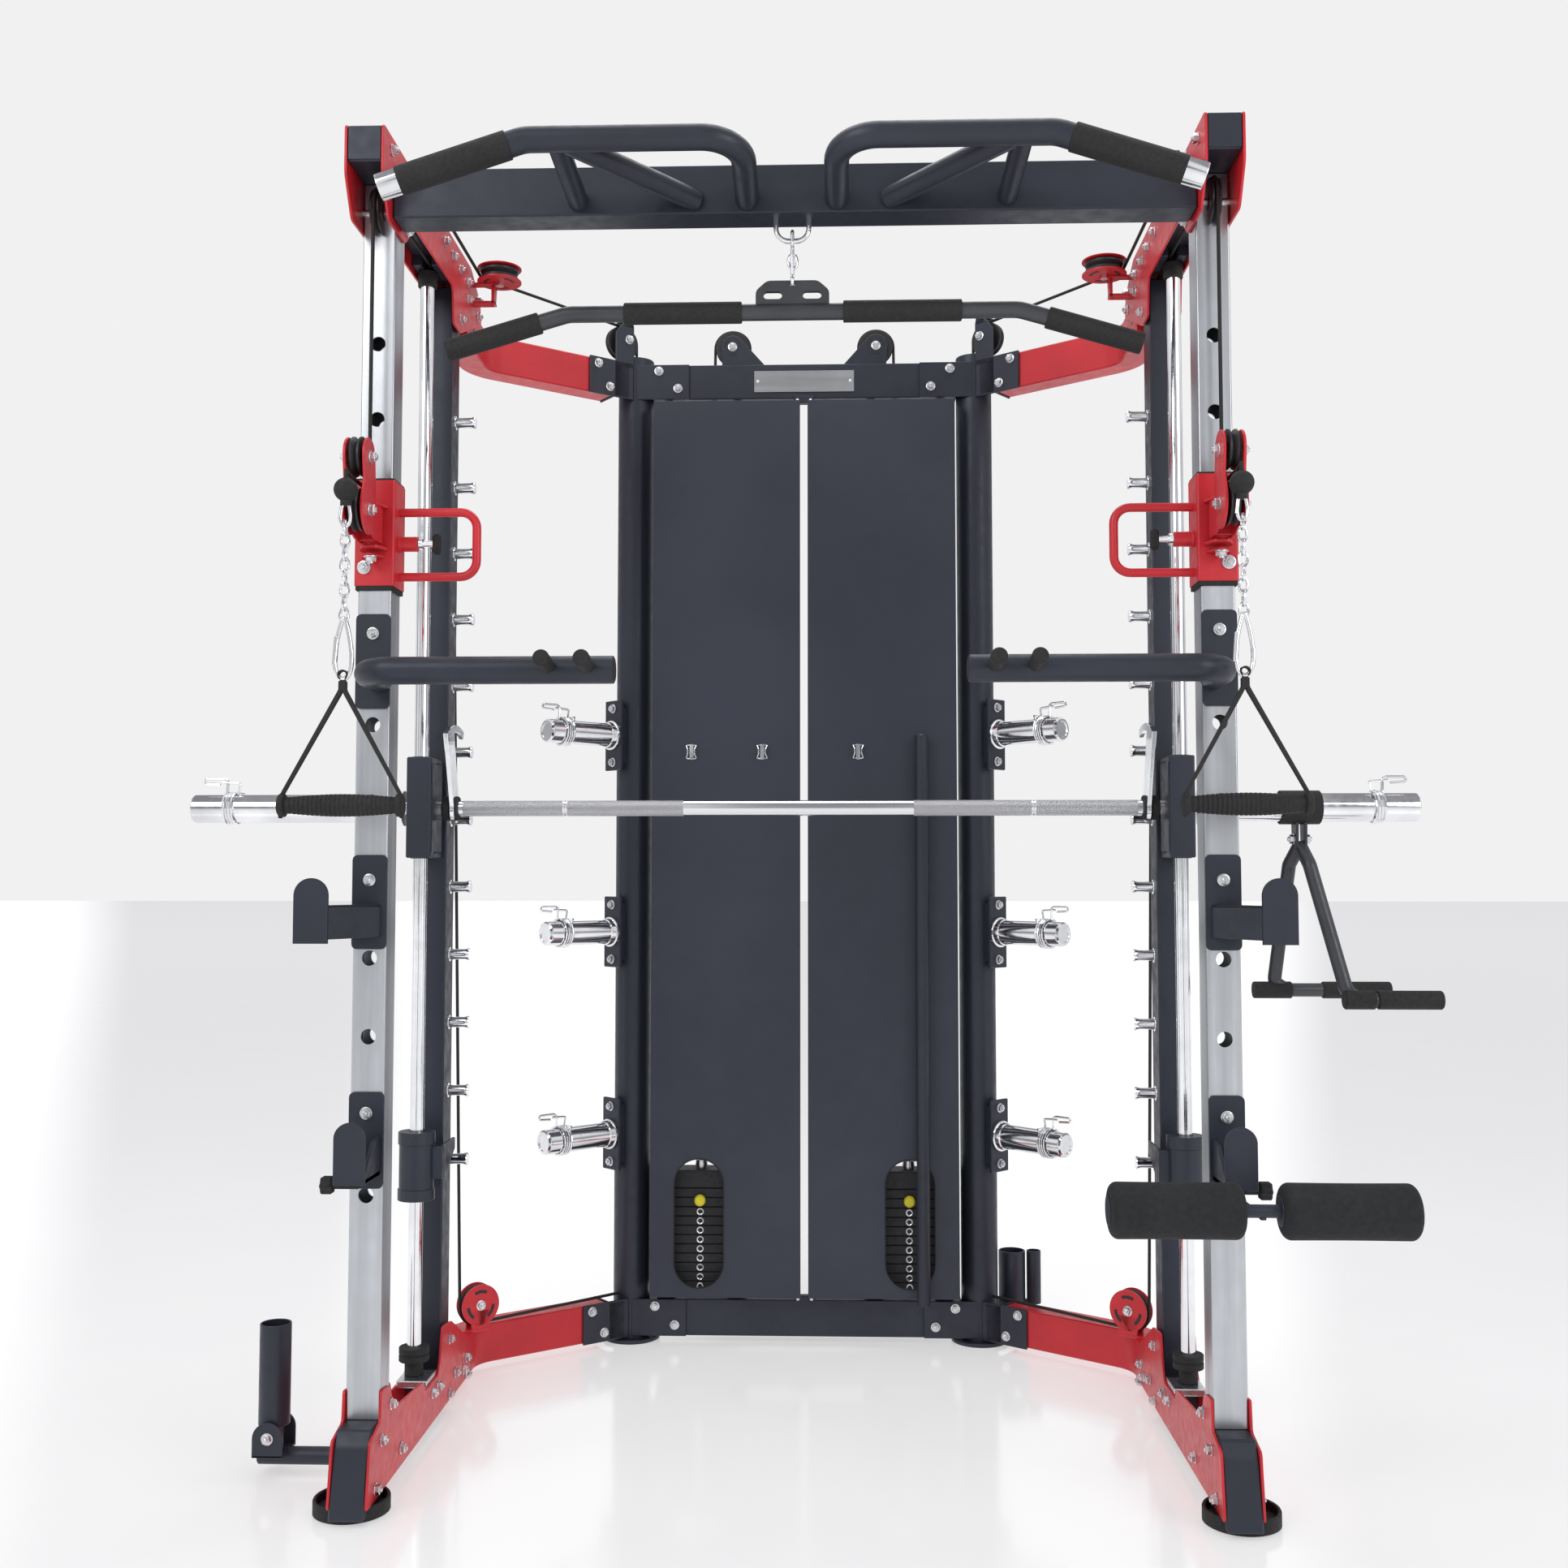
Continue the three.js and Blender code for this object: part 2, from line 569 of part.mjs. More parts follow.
function topCrossbar() {
  const half = columnX - columnRadius - 1;
  const solidBar = box(-half, half, crossFront, crossBack, armTop - armHigh, armTop);
  const slots = [-1, 1].map((s) => box(s * (noseX + cableReach - 8), s * (noseX + cableReach + 8), stackY - 8,
    stackY + 8, armTop - armHigh - 1, armTop + 1));
  const noses = [-1, 1].map((s) => {
    const sheet = [[noseX - 76, armTop - 6], [noseX + 22, armTop - 6], ...arcPoints([noseX, noseZ], 24, -20, 120, 6)];
    const placed = sheet.map(([a, b]) => [s * a, b]);
    return join([
      plateXZ(placed, stackY - 16, stackY - 12), plateXZ(placed, stackY + 12, stackY + 16),
      rod([s * noseX, stackY - 14, noseZ], [s * noseX, stackY + 14, noseZ], 7, 8),
      rod([s * noseX, stackY - 9, noseZ], [s * noseX, stackY + 9, noseZ], grooveRadius, 16),
    ]);
  });
  const strap = box(-22, 22, crossFront - 8, crossFront + 2, armTop - armHigh - 12, armTop - armHigh + 4);
  return join([cut(solidBar, slots), ...noses, strap]);
}

// Bottom crossbar, the four polished rods of the weight stacks and their rubber stops.
function bottomCrossbar() {
  const half = columnX - columnRadius - 1;
  const bar = box(-half, half, crossFront, crossBack, armBaseTop - armHigh, armBaseTop);
  const pieces = [bar];
  [-1, 1].forEach((s) => {
    [-1, 1].forEach((t) => {
      const x = s * stackX + t * guideOffset;
      pieces.push(rod([x, stackY, armBaseTop - weldLap], [x, stackY, armTop - armHigh - touchGap],
        guideDiameter / 2, 10));
      pieces.push(rod([x, stackY, armBaseTop - weldLap], [x, stackY, armBaseTop + bumperHigh], 20, 10));
    });
  });
  pieces.push(box(-22, 22, crossFront - 8, crossFront + 2, armBaseTop - 4, armBaseTop + 10));
  return join(pieces);
}

function shroud(s) {
  const low = armBaseTop + 14;
  const high = armTop - armHigh - 16;
  const inner = 8;
  const outer = columnX - columnRadius - 8;
  const sheet = box(s * inner, s * outer, shroudFront, shroudFront + shroudSheet, low, high);
  const fold = box(s * (outer - shroudSheet), s * outer, shroudFront, shroudFront + 42, low, high);
  const innerFold = box(s * inner, s * (inner + shroudSheet), shroudFront, shroudFront + 14, low, high);
  const points = [
    ...arcPoints([s * stackX, 332], 50, 0, 180, 8), ...arcPoints([s * stackX, 172], 50, 180, 360, 8),
  ];
  const panel = cut(join([sheet, fold, innerFold]), [plateXZ(points, shroudFront - 1, shroudFront + 9)]);
  const hooks = s < 0 ? [-235, -87] : [113, 243];
  const pieces = hooks.map((x) => box(x - 11, x + 11, shroudFront - 14, shroudFront + 1, 1208, 1240));
  if (s > 0) {
    const barMiddle = 243;
    pieces.push(rod([barMiddle, shroudFront - 26, 96], [barMiddle, shroudFront - 26, 1256], 13.5, 12));
    [580, 1214].forEach((clipLow) => pieces.push(box(barMiddle - 7, barMiddle + 7, shroudFront - 20,
      shroudFront + 1, clipLow, clipLow + 20)));
  }
  return join([panel, ...pieces]);
}

function weightStack(s) {
  const half = stackWide / 2;
  const x = s * stackX;
  const front = stackY - stackDeep / 2;
  const back = stackY + stackDeep / 2;
  const layers = [];
  for (let i = 0; i < lowerPlates; i += 1) {
    const z = stackBottom + i * plateHigh;
    layers.push(box(x - half, x + half, front, back, z, z + plateHigh - 1.6));
    layers.push(box(x - half + 4, x + half - 4, front + 4, back - 4, z + plateHigh - 2, z + plateHigh + 0.2));
  }
  const top = stackBottom + lowerPlates * plateHigh;
  const trim = box(x - half - 1, x + half + 1, front - 1, back + 1, top - touchGap, top + 5);
  const bores = [-1, 1].map((t) => rod([x + t * guideOffset, stackY, stackBottom - 1],
    [x + t * guideOffset, stackY, top + 1], guideDiameter / 2 + runGap, 10));
  return cut(join(layers), [trim, ...bores]);
}

const pinZ = headBottom + 14;

// The head plate, the two plates that the pin holds to it and the cable eye.
function stackHead(s) {
  const half = stackWide / 2;
  const x = s * stackX;
  const front = stackY - stackDeep / 2;
  const back = stackY + stackDeep / 2;
  const block = box(x - half, x + half, front, back, headBottom, headTop);
  const groove = [headBottom + plateHigh, headBottom + 2 * plateHigh].map((z) => cut(
    box(x - half - 1, x + half + 1, front - 1, back + 1, z - 1.6, z),
    [box(x - half + 4, x + half - 4, front + 4, back - 4, z - 3, z + 2)],
  ));
  const collars = [-1, 1].map((t) => rod([x + t * guideOffset, stackY, headTop - 1],
    [x + t * guideOffset, stackY, headTop + 24], guideDiameter / 2 + 7, 10));
  const eye = rod([x, stackY, headTop - 1], [x, stackY, headTop + 40], 13, 10);
  const bores = [-1, 1].map((t) => rod([x + t * guideOffset, stackY, headBottom - 1],
    [x + t * guideOffset, stackY, headTop + 25], guideDiameter / 2 + runGap, 10));
  const pinBore = rod([x, front - 1, pinZ], [x, back - 12, pinZ], 7, 8);
  return cut(join([block, ...collars, eye]), [...groove, ...bores, pinBore]);
}

function selectorPin(s) {
  const x = s * stackX;
  const front = stackY - stackDeep / 2;
  return join([
    rod([x, front - 8, pinZ], [x, front + 46, pinZ], 5, 8),
    turned([x, front - 18, pinZ], [x, front - 2, pinZ], [[0, 9], [0.2, 12], [0.8, 12], [1, 8]], 14),
  ]);
}

// Angles in this plate are measured about the bar, from straight back towards up.
function hookPlate(s) {
  const reach = Math.hypot(pegY - barY, barDrop);
  const pegAngle = THREE.MathUtils.radToDeg(Math.atan2(barDrop, pegY - barY));
  const inside = reach + pegDiameter / 2 + 3;
  const about = [barY, barZ];
  const turn = hookForward;
  const tip = pegAngle - 8 + turn;
  const armLow = pegAngle + 22 + turn;
  const armHighSide = pegAngle + 42 + turn;
  const points = [
    ...arcPoints(about, inside, tip, armLow, 4),
    ...arcPoints(about, 26, armLow - 40, armLow - 360 + 70, 10),
    ...arcPoints(about, inside + 14, armHighSide, tip, 5),
  ];
  return plateYZ(points, s * (innerFace - 22), s * (innerFace - 14));
}

function smithBar() {
  const shaft = rod([-sleeveStart - 4, barY, barZ], [sleeveStart + 4, barY, barZ], barDiameter / 2, 12);
  const pieces = [shaft];
  [-1, 1].forEach((s) => {
    pieces.push(turned([s * sleeveStart, barY, barZ], [s * barHalf, barY, barZ], [
      [0, sleeveDiameter / 2 + 7], [0.03, sleeveDiameter / 2 + 7], [0.03, sleeveDiameter / 2],
      [0.99, sleeveDiameter / 2], [1, sleeveDiameter / 2 - 3],
    ], 14));
    pieces.push(rod([s * (innerFace + 2), barY, barZ], [s * (innerFace - 24), barY, barZ], 22, 12));
    pieces.push(hookPlate(s));
    pieces.push(...springCollar(s));
  });
  return join(pieces);
}

// Spring collar: four close turns, drawn as one ring, and its two wire grips.
function springCollar(s) {
  const x = s * 1020;
  const ring = rod([x - s * 9, barY, barZ], [x + s * 9, barY, barZ], sleeveDiameter / 2 + 4, 14);
  const upper = tube([[x, barY, barZ + 24], [x, barY, barZ + 50], [x + s * 62, barY, barZ + 50]], 2, 6, 6, 2);
  const lower = tube([[x, barY - 22, barZ], [x, barY - 34, barZ], [x + s * 66, barY - 34, barZ]], 2, 6, 6, 2);
  return [ring, upper, lower];
}

function barCarrier(s) {
  const z0 = barZ - carrierHigh / 2;
  const z1 = barZ + carrierHigh / 2;
  const block = box(s * (rodX - 22), s * (rodX + 22), rodY - 20, rearUprightFront - 6, z0, z1);
  const rodBore = rod([s * rodX, rodY, z0 - 1], [s * rodX, rodY, z1 + 1], rodDiameter / 2 + runGap, 16);
  const barBore = rod([s * (rodX - 23), barY, barZ], [s * (rodX + 23), barY, barZ], barDiameter / 2 + runGap, 12);
  return cut(block, [rodBore, barBore]);
}

function rodStopper(s) {
  const z0 = stopperBottom;
  const z1 = stopperBottom + stopperHigh;
  const sleeve = turned([s * rodX, rodY, z0], [s * rodX, rodY, z1], [
    [0, 32], [0.17, 32], [0.17, 30], [0.82, 30], [0.82, 32], [1, 32],
  ], 16);
  const bore = rod([s * rodX, rodY, z0 - 1], [s * rodX, rodY, z1 + 1], rodDiameter / 2 + runGap, 16);
  const bladeX = innerFace - 14;
  const blade = plateYZ([
    [rodY, z1 - 24], [pegY - pegDiameter / 2 - 4, z1 - 24], [pegY - pegDiameter / 2 - 4, z1 - 44],
    [rodY + 10, z0 + 34],
  ], s * bladeX, s * (bladeX + 5));
  const root = box(s * bladeX, s * (rodX - 22), rodY - 6, rodY + 6, z0 + 36, z1 - 26);
  return cut(join([sleeve, blade, root]), [bore]);
}

// Sleeve that slides on the upright, with its guard handle, pin boss and swivel shelves.
function carriage(s) {
  const reach = halfTube + runGap;
  const z1 = carriageBottom + carriageHigh;
  const wall = carriageWall;
  const shell = box(s * (frameHalf - reach - wall), s * (frameHalf + reach + wall), -runGap - wall,
    tubeSize + runGap + wall, carriageBottom, z1);
  const hollow = box(s * (frameHalf - reach), s * (frameHalf + reach), -runGap, tubeSize + runGap,
    carriageBottom - 1, z1 + 1);
  const inner = frameHalf - reach - wall;
  const handle = tube([
    [s * (inner + 2), halfTube, carriageBottom + 22], [s * (inner - 124), halfTube, carriageBottom + 22],
    [s * (inner - 124), halfTube, carriageBottom + 126], [s * (inner + 2), halfTube, carriageBottom + 126],
  ], 7, 26, 8, 3);
  const bossZ = carriageBottom + 75;
  const boss = rod([s * (inner + 2), halfTube, bossZ], [s * (inner - 32), halfTube, bossZ], 12, 12);
  const pinBore = rod([s * (frameHalf - 10), halfTube, bossZ], [s * (inner - 40), halfTube, bossZ], 7, 8);
  const face = -runGap - wall;
  const shelf = (z) => plateXY([
    [s * (frameHalf - 24), face + 1], [s * (frameHalf + 24), face + 1],
    [s * (frameHalf + 12), swivelY - 12], [s * (frameHalf - 12), swivelY - 12],
  ], z, z + 5);
  const post = rod([s * frameHalf, swivelY, swivelLow - 3], [s * frameHalf, swivelY, swivelHigh + 3], 5, 8);
  return cut(join([shell, handle, boss, shelf(swivelLow - 6), shelf(swivelHigh + 1), post]), [hollow, pinBore]);
}

const swivelY = -24;
const swivelLow = 1484;
const swivelHigh = 1544;

function popPin(s) {
  const inner = frameHalf - halfTube - runGap - carriageWall;
  const z = carriageBottom + 75;
  const shaft = rod([s * (inner + 2), halfTube, z], [s * (inner - 56), halfTube, z], 5.5, 8);
  const grip = box(s * (inner - 54), s * (inner - 66), halfTube - 8, halfTube + 8, z - 17, z + 17);
  return join([shaft, grip]);
}

const cheekOutline = [
  [swivelY + 4, swivelHigh - 1], [-56, swivelHigh - 1], [-60, 1582],
  ...arcPoints([wheelY, upperWheelZ], 30, -10, 190, 8), [wheelY - 24, 1566],
  ...arcPoints([wheelY, lowerWheelZ], 38, 160, 300, 7), [-56, swivelLow + 2], [swivelY + 4, swivelLow + 2],
];

// Two cheeks that hold the cable wheels and turn about the post between the shelves.
function swivel(s) {
  const x = s * frameHalf;
  const cheeks = [-1, 1].map((t) => plateYZ(cheekOutline, x + t * 13, x + t * 17));
  const axles = [upperWheelZ, lowerWheelZ].map((z) => rod([x - 14, wheelY, z], [x + 14, wheelY, z], 5, 8));
  const hub = rod([x, swivelY, swivelLow], [x, swivelY, swivelHigh], 12, 12);
  const hubBack = box(x - 14, x + 14, swivelY - 16, swivelY - 4, swivelLow + 4, swivelHigh - 4);
  const bore = rod([x, swivelY, swivelLow - 1], [x, swivelY, swivelHigh + 1], 5 + runGap, 8);
  return join([...cheeks, ...axles, cut(join([hub, hubBack]), [bore])]);
}

function carriageWheel(s, z, radius) {
  const x = s * frameHalf;
  const wheel = turned([x - wheelWide / 2, wheelY, z], [x + wheelWide / 2, wheelY, z], [
    [0, radius], [0.25, radius], [0.5, radius - 4], [0.75, radius], [1, radius],
  ], 16);
  return cut(wheel, [rod([x - 14, wheelY, z], [x + 14, wheelY, z], 5 + 0.5, 8)]);
}

const upperRadius = 32;
const lowerRadius = 34;
const ballY = -156;
const ballZ = 1540;
const cordTop = 1572;

// Ball stop, snap hooks, chain and the stirrup handle hanging from the cable.
function cableHandle(s) {
  const x = s * frameHalf;
  const y = ballY;
  const ball = turned([x, y, ballZ - 18], [x, y, ballZ + 18], [
    [0, 6], [0.12, 12], [0.3, 16.5], [0.5, 18], [0.7, 16.5], [0.88, 12], [1, 6],
  ], 12);
  const chain = box(x - 5, x + 5, y - 5, y + 5, 1336, ballZ - 14);
  const hookWire = tube([[x, y, 1340], [x - 15, y, 1300], [x, y, 1256], [x + 15, y, 1300], [x, y, 1340]],
    3.4, 6, 6, 2);
  const wireJoin = box(x - 6, x + 6, y - 5, y + 5, 1334, 1346);
  const strapTop = box(x - 7, x + 7, y - 5, y + 5, 1232, 1276);
  const straps = [-1, 1].map((t) => tube([[x + t * 2, y, 1236], [x + t * 89, y, 1078]], 3.5, 5, 6, 1));
  const grip = turned([x - 93, y, 1069], [x + 93, y, 1069], [
    [0, 15], [0.05, 17], [0.09, 12], [0.3, 15.5], [0.5, 17.5], [0.7, 15.5], [0.91, 12], [0.95, 17], [1, 15],
  ], 14);
  return join([ball, chain, hookWire, wireJoin, strapTop, ...straps, grip]);
}

function cableRun(points) {
  return tube(points, cableDiameter / 2, cableReach - 0.5, 8, 4);
}

const cableFrontY = topWheelY - cableReach;

// Straight run in front of the upright, from the carriage up to the top pulley.
function frontCable(s) {
  const x = s * frameHalf;
  return cableRun([[x, cableFrontY, upperWheelZ + 40], [x, cableFrontY, cableSplitZ]]);
}

// Short end of the cable between the carriage's wheels and the ball stop.
function handleCord(s) {
  const x = s * frameHalf;
  return cableRun([[x, ballY, cordTop], [x, ballY, ballZ + 18 + touchGap]]);
}

// Over the top pulley, back under the beam, down behind the rear upright, round the
// base pulley, along the base arm, up inside the column, over its wheel, round the
// corner pulley and forwards to its anchor.
function frameCable(s) {
  const x = s * frameHalf;
  const over = topWheelZ + cableReach;
  const downY = rearUprightFront + rearUprightDeep + 22;
  const lead = armPoint(1, cableReach + 6, 0, columnWheelZ + cableReach);
  const away = [lead[0] - cornerWheelX, lead[1] - cornerWheelY];
  const cornerTurn = Math.atan2(-away[0], away[1]) + Math.asin(cableReach / Math.hypot(...away));
  const cornerX = cornerWheelX + cableReach;
  const cornerY = cornerWheelY + cableReach * Math.tan(cornerTurn / 2);
  return cableRun([
    [x, cableFrontY, cableSplitZ + touchGap], [x, cableFrontY, over], [x, downY, over],
    armPoint(s, baseWheelReach + cableReach, baseWheelSide, frameCableLow),
    [s * columnX, columnY, frameCableLow], [s * columnX, columnY, columnWheelZ + cableReach],
    armPoint(s, cableReach + 6, 0, columnWheelZ + cableReach),
    [s * cornerX, cornerY, cornerWheelZ], [s * cornerX, 50 + touchGap, cornerWheelZ],
  ]);
}

// From its end on the crossbar, over the crossbar pulley and down to the stack.
function stackCable(s) {
  return cableRun([
    [s * (noseX - cableReach), stackY, armTop + touchGap], [s * (noseX - cableReach), stackY, noseZ + cableReach],
    [s * (noseX + cableReach), stackY, noseZ + cableReach], [s * stackX, stackY, headTop + 40 + touchGap],
  ]);
}

// Crossbeam with the two welded grip bars and the hanging eye under its middle.
function pullUpBeam() {
  const half = innerFace - touchGap - plateThick - touchGap;
  const front = crossbeamBack - crossbeamDeep;
  const low = crossbeamTop - crossbeamHigh;
  const beam = box(-half, half, front, crossbeamBack, low, crossbeamTop);
  const pieces = [beam];
  const z = 2040;
  const faceZ = 2024;
  [-1, 1].forEach((s) => {
    pieces.push(tube([
      [s * 70, front + 4, faceZ], [s * 70, -196, z + 12], [s * 392, -196, z + 12], [s * 604, -206, z - 62],
    ], pullTube / 2, 62, 10, 4));
    pieces.push(tube([[s * 150, front + 4, faceZ], [s * 330, -190, z + 10]], pullTube / 2 - 2, 5, 10, 1));
    pieces.push(tube([[s * 336, front + 4, faceZ], [s * 344, -190, z + 10]], 16, 5, 10, 1));
  });
  const eye = tube([
    [-26, -10, low + 6], [-26, -10, low - 34], [26, -10, low - 34], [26, -10, low + 6],
  ], 4, 20, 8, 4);
  return join([...pieces, eye]);
}

const eyeZ = crossbeamTop - crossbeamHigh - 30;

function latBar() {
  const z = latZ;
  const y = latY;
  const bar = tube([
    [-latHalf, y, z - 56], [-356, y, z], [356, y, z], [latHalf, y, z - 56],
  ], 13, 60, 12, 4);
  const grips = [];
  [-1, 1].forEach((s) => {
    grips.push(rod([s * 80, y, z], [s * 266, y, z], 17, 12));
    grips.push(turned([s * (latHalf + 2), y, z - 56.6], [s * 400, y, z - 13], [[0, 17], [1, 17]], 12));
  });
  const plate = plateXZ([[-58, z + 4], [-58, z + 34], [-40, z + 50], [40, z + 50], [58, z + 34], [58, z + 4]],
    y - 4, y + 4);
  const slots = [-1, 1].map((s) => box(s * 16, s * 46, y - 6, y + 6, z + 20, z + 32));
  const link = tube([
    [0, y, z + 44], [0, y, eyeZ - 14], [0, y - 8, eyeZ - 14], [0, y - 8, eyeZ + 14], [0, y + 8, eyeZ + 14],
  ], 3, 3, 8, 2);
  return join([cut(join([bar, ...grips, plate]), slots), link]);
}

function attachmentPlate(s, low, high, thick = 5) {
  return box(s * (innerFace - 1), s * (outerFace + 1), -touchGap - thick, -touchGap, low, high);
}

function dipArm(s) {
  const plate = attachmentPlate(s, dipZ - 46, dipZ + 104);
  const arm = tube([
    [s * (frameHalf - 12), -4, dipZ], [s * (frameHalf - 12), -112, dipZ], [s * dipEnd, -112, dipZ],
  ], dipTube / 2, 50, 12, 5);
  const posts = [304, 363].map((x) => turned([s * x, -116, dipZ + 2], [s * x, -186, dipZ + 10],
    [[0, 10], [0.3, 10], [0.3, 12], [1, 12]], 10));
  return join([plate, arm, ...posts]);
}

function jCup(s) {
  const plate = attachmentPlate(s, 851, 998);
  const face = -touchGap - 4;
  const arm = plateXY([
    [s * (innerFace + 6), face], [s * (outerFace - 2), face], [s * 739, -112], [s * 692, -112],
  ], 870, 918);
  const lip = plateXZ([
    [s * 692, 864], [s * 744, 864], ...arcPoints([s * 718, 936], 26, s > 0 ? 0 : 180, s > 0 ? 180 : 0, 8),
  ], -118, -111);
  return join([plate, arm, lip]);
}

function lowerCatch(s) {
  const plate = attachmentPlate(s, 482, 630);
  const floor = box(s * (innerFace + 4), s * (outerFace - 3), -88, -touchGap - 4, 503, 511);
  const web = plateYZ([[-4, 503], [-88, 503], [-88, 511], [-40, 560], [-4, 566]],
    s * (innerFace + 4), s * (innerFace + 9));
  const lip = plateXZ([
    [s * (innerFace + 2), 503], [s * (innerFace + 50), 503],
    ...arcPoints([s * (innerFace + 26), 572], 24, s > 0 ? 0 : 180, s > 0 ? 180 : 0, 8),
  ], -94, -87);
  const screw = rod([s * (innerFace + 20), -60, 498], [s * (outerFace + 8), -60, 498], 6, 8);
  const knob = rod([s * (outerFace + 6), -60, 498], [s * (outerFace + 24), -60, 498], 14, 12);
  return join([plate, floor, web, lip, screw, knob]);
}

const rowX = frameHalf + 222;
const rowPivotZ = 1045;

// Handle that hangs from the right sleeve: ring, clevis ears, two legs and grips.
function rowHandle() {
  const inside = sleeveDiameter / 2 + 1;
  const ring = cut(rod([rowX - 35, barY, barZ], [rowX + 35, barY, barZ], inside + 4, 20),
    [rod([rowX - 36, barY, barZ], [rowX + 36, barY, barZ], inside, 20)]);
  const ears = box(rowX - 10, rowX + 10, barY - 16, barY + 16, 1010, barZ - inside - 1);
  const legs = [
    tube([[rowX, barY, 1020], [rowX + 8, barY - 30, 985], [rowX + 50, barY - 90, 766],
      [rowX + 72, barY - 104, 756]], 12, 26, 10, 3),
    tube([[rowX, barY, 1020], [rowX - 12, barY + 26, 985], [rowX - 34, barY + 56, 776],
      [rowX - 16, barY + 52, 764]], 12, 14, 10, 3),
  ];
  const grips = [
    rod([rowX - 72, barY + 52, 762], [rowX + 170, barY + 52, 762], 15, 12),
    rod([rowX + 40, barY - 104, 756], [barHalf - 2, barY - 104, 756], 16, 12),
  ];
  return join([ring, ears, ...legs, ...grips]);
}

// Roller bar with two foam rolls, held in front of the right upright.
function legRoller() {
  const z = 488;
  const y = -158;
  const x0 = 454;
  const x1 = 894;
  const bar = rod([x0 + 4, y, z], [x1 - 4, y, z], 9.5, 12);
  const foam = (a, b) => turned([a, y, z], [b, y, z], [
    [0, 28], [0.03, rollerRadius - 3], [0.07, rollerRadius], [0.93, rollerRadius], [0.97, rollerRadius - 3],
    [1, 28],
  ], 18);
  const strap = box(frameHalf + 8, frameHalf + 16, y, -touchGap - 3, z - 7, z - 11);
  const plate = box(frameHalf - 20, frameHalf + 20, -touchGap - 5, -touchGap, 440, 480 - touchGap);
  const riser = box(frameHalf + 8, frameHalf + 16, y - 6, y + 6, z - 12, z);
  return join([bar, foam(x0, 648), foam(698, x1), strap, plate, riser]);
}

// ---- Assembly ----
[-1, 1].forEach((s) => {
  const side = s < 0 ? 'left' : 'right';
  add(`${side}_front_upright`, frontUpright(s), steel);
  add(`${side}_rear_upright`, rearUpright(s), black);
  add(`${side}_guide_rod`, guideRod(s), chrome);
  add(`${side}_top_frame`, topFrame(s), red);
  add(`${side}_base_frame`, baseFrame(s), red);
  add(`${side}_base_arm`, baseArm(s), red);
  add(`${side}_column`, column(s), black);
  add(`${side}_shroud`, shroud(s), black);
  add(`${side}_weight_stack`, weightStack(s), black);
  add(`${side}_stack_head`, stackHead(s), black);
  add(`${side}_selector_pin`, selectorPin(s), yellow);
  add(`${side}_bar_carrier`, barCarrier(s), black);
  add(`${side}_rod_stopper`, rodStopper(s), black);
  add(`${side}_carriage`, carriage(s), red);
  add(`${side}_pop_pin`, popPin(s), rubber);
  add(`${side}_swivel`, swivel(s), red);
  add(`${side}_upper_wheel`, carriageWheel(s, upperWheelZ, upperRadius), rubber);
  add(`${side}_lower_wheel`, carriageWheel(s, lowerWheelZ, lowerRadius), rubber);
  add(`${side}_cable_handle`, cableHandle(s), rubber);
  add(`${side}_front_cable`, frontCable(s), rubber);
  add(`${side}_handle_cord`, handleCord(s), rubber);
  add(`${side}_frame_cable`, frameCable(s), rubber);
  add(`${side}_stack_cable`, stackCable(s), rubber);
  add(`${side}_dip_arm`, dipArm(s), black);
  add(`${side}_j_cup`, jCup(s), black);
  add(`${side}_lower_catch`, lowerCatch(s), black);
});
add('top_crossbar', topCrossbar(), black);
add('bottom_crossbar', bottomCrossbar(), black);
add('pull_up_beam', pullUpBeam(), black);
add('smith_bar', smithBar(), chrome);
add('lat_bar', latBar(), black);
add('landmine_tube', landmineTube(), black);
add('row_handle', rowHandle(), black);
add('leg_roller', legRoller(), rubber);

// The origin is the middle of the footprint box, on the floor.
const extent = new THREE.Box3().setFromObject(station);
station.position.x = -(extent.min.x + extent.max.x) / 2;
station.position.y = -(extent.min.y + extent.max.y) / 2;

export default station;
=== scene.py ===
import math

import bmesh
import bpy
from mathutils import Matrix, Vector


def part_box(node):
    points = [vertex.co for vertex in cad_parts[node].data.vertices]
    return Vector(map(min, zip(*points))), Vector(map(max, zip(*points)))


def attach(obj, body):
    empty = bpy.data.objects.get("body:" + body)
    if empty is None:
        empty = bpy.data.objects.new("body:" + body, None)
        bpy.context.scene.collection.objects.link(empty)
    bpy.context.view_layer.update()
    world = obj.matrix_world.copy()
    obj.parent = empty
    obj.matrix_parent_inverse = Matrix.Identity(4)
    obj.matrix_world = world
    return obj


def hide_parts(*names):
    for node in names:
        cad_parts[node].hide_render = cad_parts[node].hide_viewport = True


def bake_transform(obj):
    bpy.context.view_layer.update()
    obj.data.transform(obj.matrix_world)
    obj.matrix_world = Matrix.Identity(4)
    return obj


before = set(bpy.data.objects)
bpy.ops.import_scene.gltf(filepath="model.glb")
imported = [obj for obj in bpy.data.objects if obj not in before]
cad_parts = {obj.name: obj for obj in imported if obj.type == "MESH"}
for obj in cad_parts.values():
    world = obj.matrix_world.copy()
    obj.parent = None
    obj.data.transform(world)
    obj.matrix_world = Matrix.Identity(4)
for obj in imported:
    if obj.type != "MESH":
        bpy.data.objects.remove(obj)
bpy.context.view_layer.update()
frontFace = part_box("right_front_upright")[0].y * 1000  # the uprights' front face, in mm
sides = (("left", -1), ("right", 1))
print("frame loaded")

# Sizes below are in mm: X right, Y back from the uprights' front face, Z up.


def spot(x, y, z):
    return Vector((x / 1000, (y + frontFace) / 1000, z / 1000))


